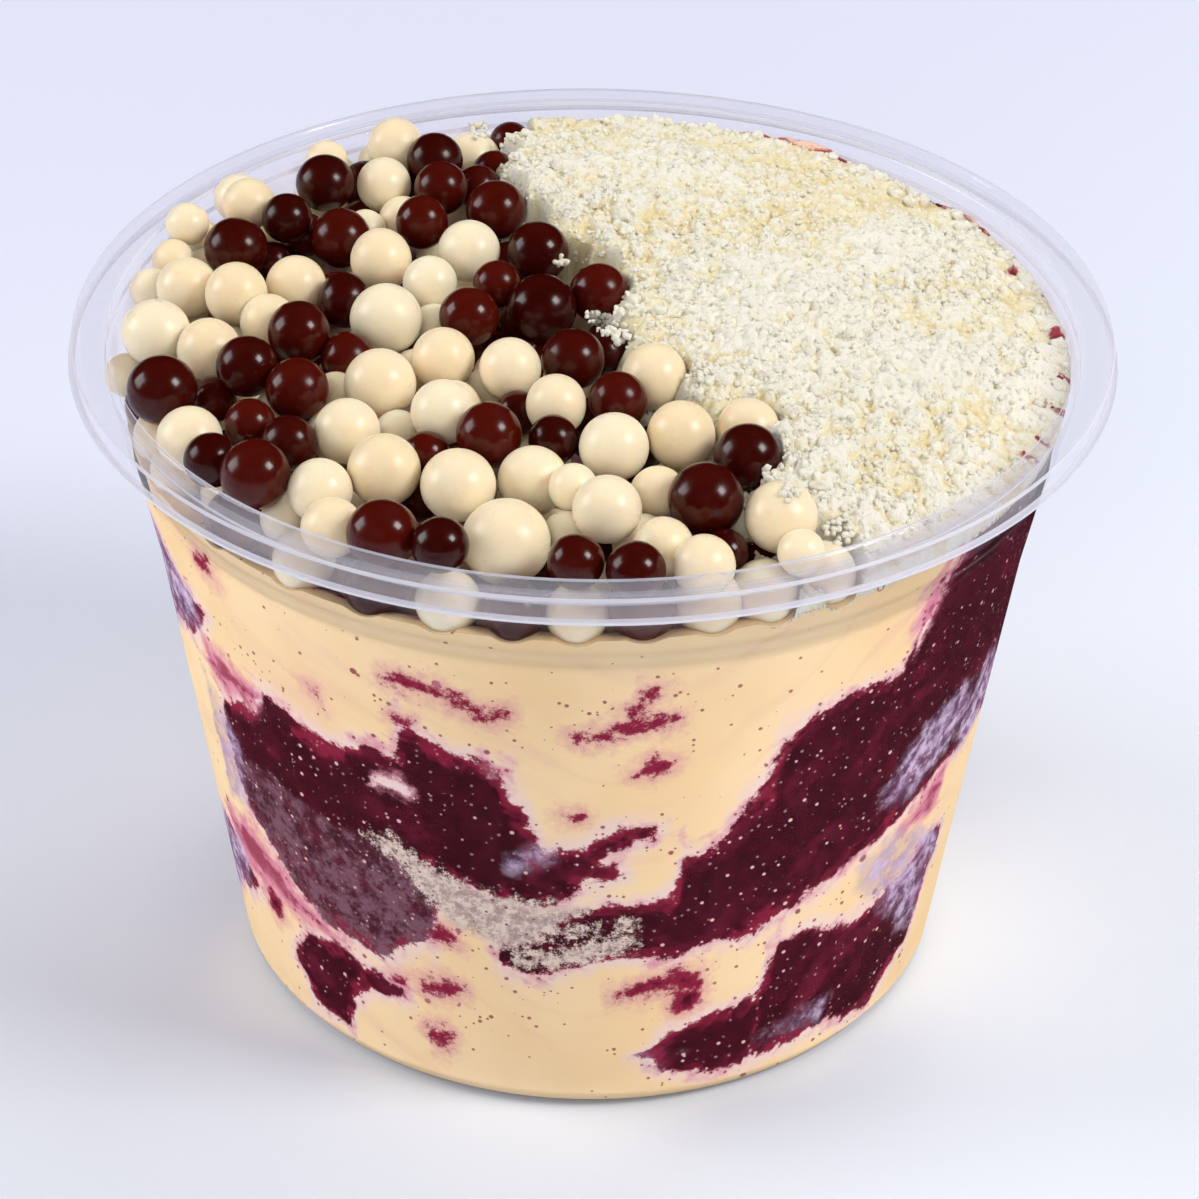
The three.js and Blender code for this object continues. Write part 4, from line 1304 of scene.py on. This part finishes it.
def make_powder(ball_centres, ball_radii):
    """The mound of powder, with its crumbs as relief."""
    material = powder_material()
    flat, quads = powder_grid()
    base = powder_base(*flat.T[:2])
    room = np.clip((base - soft_level(*flat.T[:2])) / 4, 0.5, 1)
    soft = soft_relief(flat)
    crumbly = 0.35 + 0.65 * smooth_step(wobble(flat, 11.0, 26) + 0.3 - 0.012 * flat[:, 1], -0.3, 0.5)
    crumbs = sum(height * crumb_relief(flat, size) * (1 - share + share * crumbly)
                 for size, height, share in CRUMBS)
    top = flat.copy()
    top[:, 0] += POWDER_JITTER * wobble(flat, 0.8, 33)
    top[:, 1] += POWDER_JITTER * wobble(flat, 0.8, 34)
    top[:, 2] = np.minimum(base + (RIDGE_HEIGHT * soft + crumbs - RELIEF_DROP) * room, POWDER_TOP)
    top[:, 2] = np.minimum(top[:, 2], under_balls(top, ball_centres, ball_radii))
    top[:, :2] *= to_wall(flat, top[:, 2])[:, None]
    bottom = flat.copy()
    bottom[:, 2] = fill_level(*flat.T[:2]) - POWDER_SUNK
    bottom[:, :2] *= to_wall(flat, bottom[:, 2])[:, None]
    middle = np.append(flat.mean(axis=0)[:2], FILL_LEVEL - 2)
    points = np.vstack([top, bottom, middle])
    # How deep each point lies among the lumps and crumbs, which sets its painted yellow shade.
    hollow = np.clip(0.58 - 0.5 * soft - crumbs, 0, 1.2)
    stain = stain_share(flat)
    fields = {"hollow": np.concatenate([hollow, hollow, [0]]),
              "stain": np.concatenate([stain, np.zeros(len(flat) + 1)])}
    faces = [quads, *closing_faces(quads, len(flat))]
    used, corners = np.unique(np.concatenate([part.ravel() for part in faces]), return_inverse=True)
    parts = np.split(corners, np.cumsum([part.size for part in faces])[:-1])
    faces = [part.reshape(-1, face.shape[1]) for part, face in zip(parts, faces)]
    mound = mesh_piece("powder_mound", points[used], faces, material,
                       attributes={key: values[used] for key, values in fields.items()})
    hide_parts("milk_powder")
    make_crumbs(top, crumbly, material, ball_centres, ball_radii)


def under_balls(points, ball_centres, ball_radii):
    """How high the powder may reach at each point without burying the balls beside it."""
    highest = np.full(len(points), POWDER_TOP)
    for centre, radius in zip(ball_centres, ball_radii):
        is_apart = past_divide(*centre[:2]) < -POWDER_REACH - radius
        is_buried = centre[2] + radius < powder_base(*centre[:2]) - 0.5
        if is_apart or is_buried:
            continue
        away = np.hypot(*(points - centre)[:, :2].T)
        underside = centre[2] - np.sqrt(np.maximum(radius ** 2 - away ** 2, 0)) * 0.9 - 0.25 * radius
        beside = centre[2] + (away - radius) * 4
        highest = np.minimum(highest, np.where(away < radius, underside, beside))
    return highest + 0.5 * crumb_relief(points, 1.3) * (highest < points[:, 2])


def loose_places(top, chance, count, rng, ball_centres, ball_radii, sizes):
    """Places on the powder for loose grains that touch no ball: centre and size of each."""
    places = top[rng.choice(len(top), count, replace=False, p=chance / chance.sum())]
    size = sizes[0] + (sizes[1] - sizes[0]) * rng.random(count) ** 2
    places[:, 2] += size * 0.1
    reach = off_axis(places)
    places[:, :2] *= np.minimum(1, (inside_radius(places[:, 2]) - size * 1.1) / reach)[:, None]
    gaps = np.linalg.norm(places[:, None] - ball_centres[None], axis=2) - ball_radii[None]
    is_free = (gaps.min(axis=1) > size * 0.5) & (places[:, 2] + size < POWDER_TOP)
    return places[is_free], size[is_free]


def spilled_places(rng, ball_centres, ball_radii):
    """Places of the grains in the little heaps, each on the ball or powder that its sight line meets."""
    places, sizes = [], []
    for (pixel_x, pixel_y, reach), count in SPILLS:
        for _ in range(count):
            away, angle = reach * math.sqrt(rng.random()), rng.random() * 2 * math.pi
            line = sight_line(pixel_x + away * math.cos(angle), pixel_y + away * math.sin(angle))
            to_ball = EYE - ball_centres
            half = to_ball @ line
            inside = half ** 2 - (to_ball ** 2).sum(axis=1) + ball_radii ** 2
            distances = np.where(inside > 0, -half - np.sqrt(np.maximum(inside, 0)), np.inf)
            far = np.linalg.norm(on_powder(line) - EYE)
            size = rng.uniform(*SPILLED_SIZES)
            places.append(EYE + line * (min(distances.min(), far) - size * 0.5))
            sizes.append(size)
    return np.array(places), np.array(sizes)


def make_crumbs(top, crumbly, material, ball_centres, ball_radii):
    """Loose grains and clumps of powder over the mound, and a few that have rolled against the balls."""
    rng = np.random.default_rng(SEED + 2)
    near = np.exp(-np.maximum(past_divide(*top.T[:2]), 0) / 5)
    bearing = np.degrees(np.arctan2(top[:, 0], -top[:, 1]))
    off_rim = np.maximum(MOUND_RADIUS - off_axis(top), 0)
    rim = np.exp(-off_rim / 1.5) * smooth_step(bearing, 60, 90)
    balls = (ball_centres, ball_radii)
    grains = loose_places(top, 0.15 + crumbly + 1.5 * near + rim, GRAINS, rng, *balls, GRAIN_SIZES)
    spilled = spilled_places(rng, *balls)
    grains = [np.concatenate(pair) for pair in zip(grains, spilled)]
    clumps = loose_places(top, 0.1 * crumbly + near + 6 * rim, CLUMPS, rng, *balls, CLUMP_SIZES)
    kinds = (("powder_grains", grains, GRAIN_DETAIL), ("powder_clumps", clumps, CLUMP_DETAIL))
    for name, (places, sizes), detail in kinds:
        ball_points, ball_triangles = unit_ball(detail)
        points, painted_shades = [], []
        for count, (place, size) in enumerate(zip(places, sizes)):
            squash = rng.uniform(0.7, 1.15, 3)
            lumps = 1 + 0.55 * wobble(ball_points * 1.6 + count * 3.7, 1.0, 41)
            points.append(place + ball_points * squash * lumps[:, None] * size)
            # The dented parts of each grain take painted yellow shade.
            painted_shades.append(np.clip(0.95 - 0.8 * lumps, 0, 1))
        points = np.concatenate(points)
        fields = {"hollow": np.concatenate(painted_shades), "stain": stain_share(points)}
        mesh_piece(name, points, repeated(ball_triangles, len(places), len(ball_points)), material,
                   attributes=fields)


# ---- Film on the wall --------------------------------------------------------------------------

# Cream and acai that cling to the wall above the powder: [bearing, top height].
FILM_TOP = [
    (84, 70.5), (92, 71.2), (100, 71.5), (108, 71.9), (114, 72.4), (119, 72.8), (124, 73.5), (128, 73.5),
    (131, 72.8), (134, 72.7), (138, 72.6), (142, 73.0), (146, 73.6), (149, 74.4), (153, 74.6), (158, 74.2),
    (162, 73.7), (167, 73.8), (172, 73.9), (178, 73.8), (184, 73.6),
]
FILM_BOTTOM = 70.0
FILM_THICKNESS = 0.4
FILM_STEP = 0.25
FILM_PATCH = 2.6
FILM_CREAM = (0.88, 0.60, 0.46)
FILM_PINK = (0.42, 0.07, 0.07)
FILM_ACAI = (0.10, 0.006, 0.012)
# Round the film's section: [share of its height, share of its thickness or, below 0, depth in the wall].
FILM_OUTLINE = [
    (0, -0.12), (0.5, -0.12), (0.85, -0.12), (1.0, 0.0), (0.97, 0.5), (0.8, 0.9), (0.5, 1.0), (0, 1.0),
]


def film_material():
    """Cream at the film's top, and acai where the film meets the powder."""
    shader = Shader("cream_film")
    rise = shader.attribute("rise")
    patch = shader.noise(shader.place(), FILM_PATCH, 6, 0.7)
    depth = shader.moved(rise, (shader.even(patch), 3.0))
    colour = shader.mix(shader.span(depth, 0.8, 0.3), FILM_CREAM, FILM_PINK)
    colour = shader.mix(shader.span(depth, 0.35, -0.1), colour, FILM_ACAI)
    return shader.surface(Base_Color=colour, Roughness=0.35, Specular_IOR_Level=0.2)


def make_film():
    """A thin uneven strip on the back and right of the inside wall."""
    degrees, tops = np.array(FILM_TOP).T
    bearings = np.arange(degrees[0], degrees[-1], FILM_STEP)
    turn = np.radians(bearings)
    strip = np.stack([bearings, np.zeros_like(bearings), np.zeros_like(bearings)], axis=1)
    high = np.interp(bearings, degrees, tops) + 0.35 * wobble(strip, 3.0, 51) + 0.2 * wobble(strip, 1.1, 52)
    ends = smooth_step(np.minimum(bearings - bearings[0], bearings[-1] - bearings), 0, 4)
    high = FILM_BOTTOM + (high - FILM_BOTTOM) * np.maximum(ends, 0.02)
    thickness = FILM_THICKNESS * (1 + 0.5 * wobble(strip, 2.5, 53))
    rows = []
    for share, depth in FILM_OUTLINE:
        height = FILM_BOTTOM + (high - FILM_BOTTOM) * share
        reach = inside_radius(height) - np.where(depth < 0, depth, depth * thickness)
        rows.append(np.stack([reach * np.sin(turn), -reach * np.cos(turn), height], axis=1))
    points = np.concatenate(rows)
    count, depth_rows = len(bearings), len(rows)
    quads = grid_quads(depth_rows, count, rows_close=True)
    first = np.arange(depth_rows)[None, :] * count
    caps = [first, first[:, ::-1] + count - 1]
    rise = points[:, 2] - powder_base(*points.T[:2])
    mesh_piece("cream_film", points, [quads, *caps], film_material(), attributes={"rise": rise})


# ---- Stage -------------------------------------------------------------------------------------

FLOOR_DROP = 0.05
FLOOR_SIZE = 6.0
WORLD_COLOUR = (0.86, 0.885, 1.0)
WORLD_STRENGTH = 0.25
FLOOR_NEAR = (0.79, 0.835, 0.90)
# The floor's colour under painted shade, towards the back left.
FLOOR_SHADED = (0.71, 0.73, 0.85)
# The floor's painted shade fades in between these two distances from the cup, away from the eye and to the
# left.
FLOOR_SHADE_FADE = (-120.0, 260.0)
# Lights: [name, direction from the cup, distance, size, power, colour, whether surfaces reflect it].
LIGHTS = [
    ("key_light", (0.70, -0.25, 0.68), 1.1, 0.36, 6.6, (1.0, 0.985, 0.96), True),
    ("side_light", (-0.90, 0.06, 0.44), 1.0, 0.5, 4.8, (0.97, 0.98, 1.0), True),
    ("front_light", (-0.15, -0.85, 0.5), 1.6, 1.0, 8.7, (1.0, 1.0, 1.0), False),
    ("top_light", (0.35, 0.6, 0.75), 1.3, 0.8, 6.0, (1.0, 1.0, 1.0), False),
]


def make_floor():
    """A pale floor with painted shade that darkens it towards the back left."""
    shader = Shader("floor")
    across, along, _ = shader.add("ShaderNodeSeparateXYZ", Vector=shader.place()).outputs
    away = shader.moved(along, (across, -0.5))
    # Painted shade darkens the floor towards the back left.
    colour = shader.mix(shader.span(away, *FLOOR_SHADE_FADE), FLOOR_NEAR, FLOOR_SHADED)
    material = shader.surface(Base_Color=colour, Roughness=0.8, Specular_IOR_Level=0.0)
    bpy.ops.mesh.primitive_plane_add(size=FLOOR_SIZE, location=(0, 0, -FLOOR_DROP * MM))
    floor = bpy.context.object
    floor.name = "floor"
    floor.data.materials.append(material)


def area_light(name, direction, distance, size, power, colour, is_reflected):
    """A soft square light that shines at the cup from a direction, distance and size in metres."""
    data = bpy.data.lights.new(name, "AREA")
    data.shape = "SQUARE"
    data.size = size
    data.energy = power
    data.color = colour
    light = bpy.data.objects.new(name, data)
    target = Vector((0, 0, POT_HEIGHT / 2 * MM))
    towards = Vector(direction).normalized()
    light.location = target + towards * distance
    light.visible_glossy = is_reflected
    light.rotation_euler = (-towards).to_track_quat("-Z", "Y").to_euler()
    bpy.context.scene.collection.objects.link(light)


def make_lights():
    """The lights and the pale surroundings, and how often light may bounce."""
    for light in LIGHTS:
        area_light(*light)
    world = bpy.data.worlds.new("studio")
    world.use_nodes = True
    background = world.node_tree.nodes["Background"]
    background.inputs[0].default_value = (*WORLD_COLOUR, 1)
    background.inputs[1].default_value = WORLD_STRENGTH
    world.cycles_visibility.glossy = False
    scene = bpy.context.scene
    scene.world = world
    scene.view_settings.view_transform = "Standard"
    scene.cycles.max_bounces = 6
    scene.cycles.diffuse_bounces = 2
    scene.cycles.glossy_bounces = 2
    scene.cycles.use_light_tree = False


make_camera()
make_floor()
make_lights()
make_pot()
make_filling()
ball_centres, ball_radii = make_balls()
make_powder(ball_centres, ball_radii)
make_film()
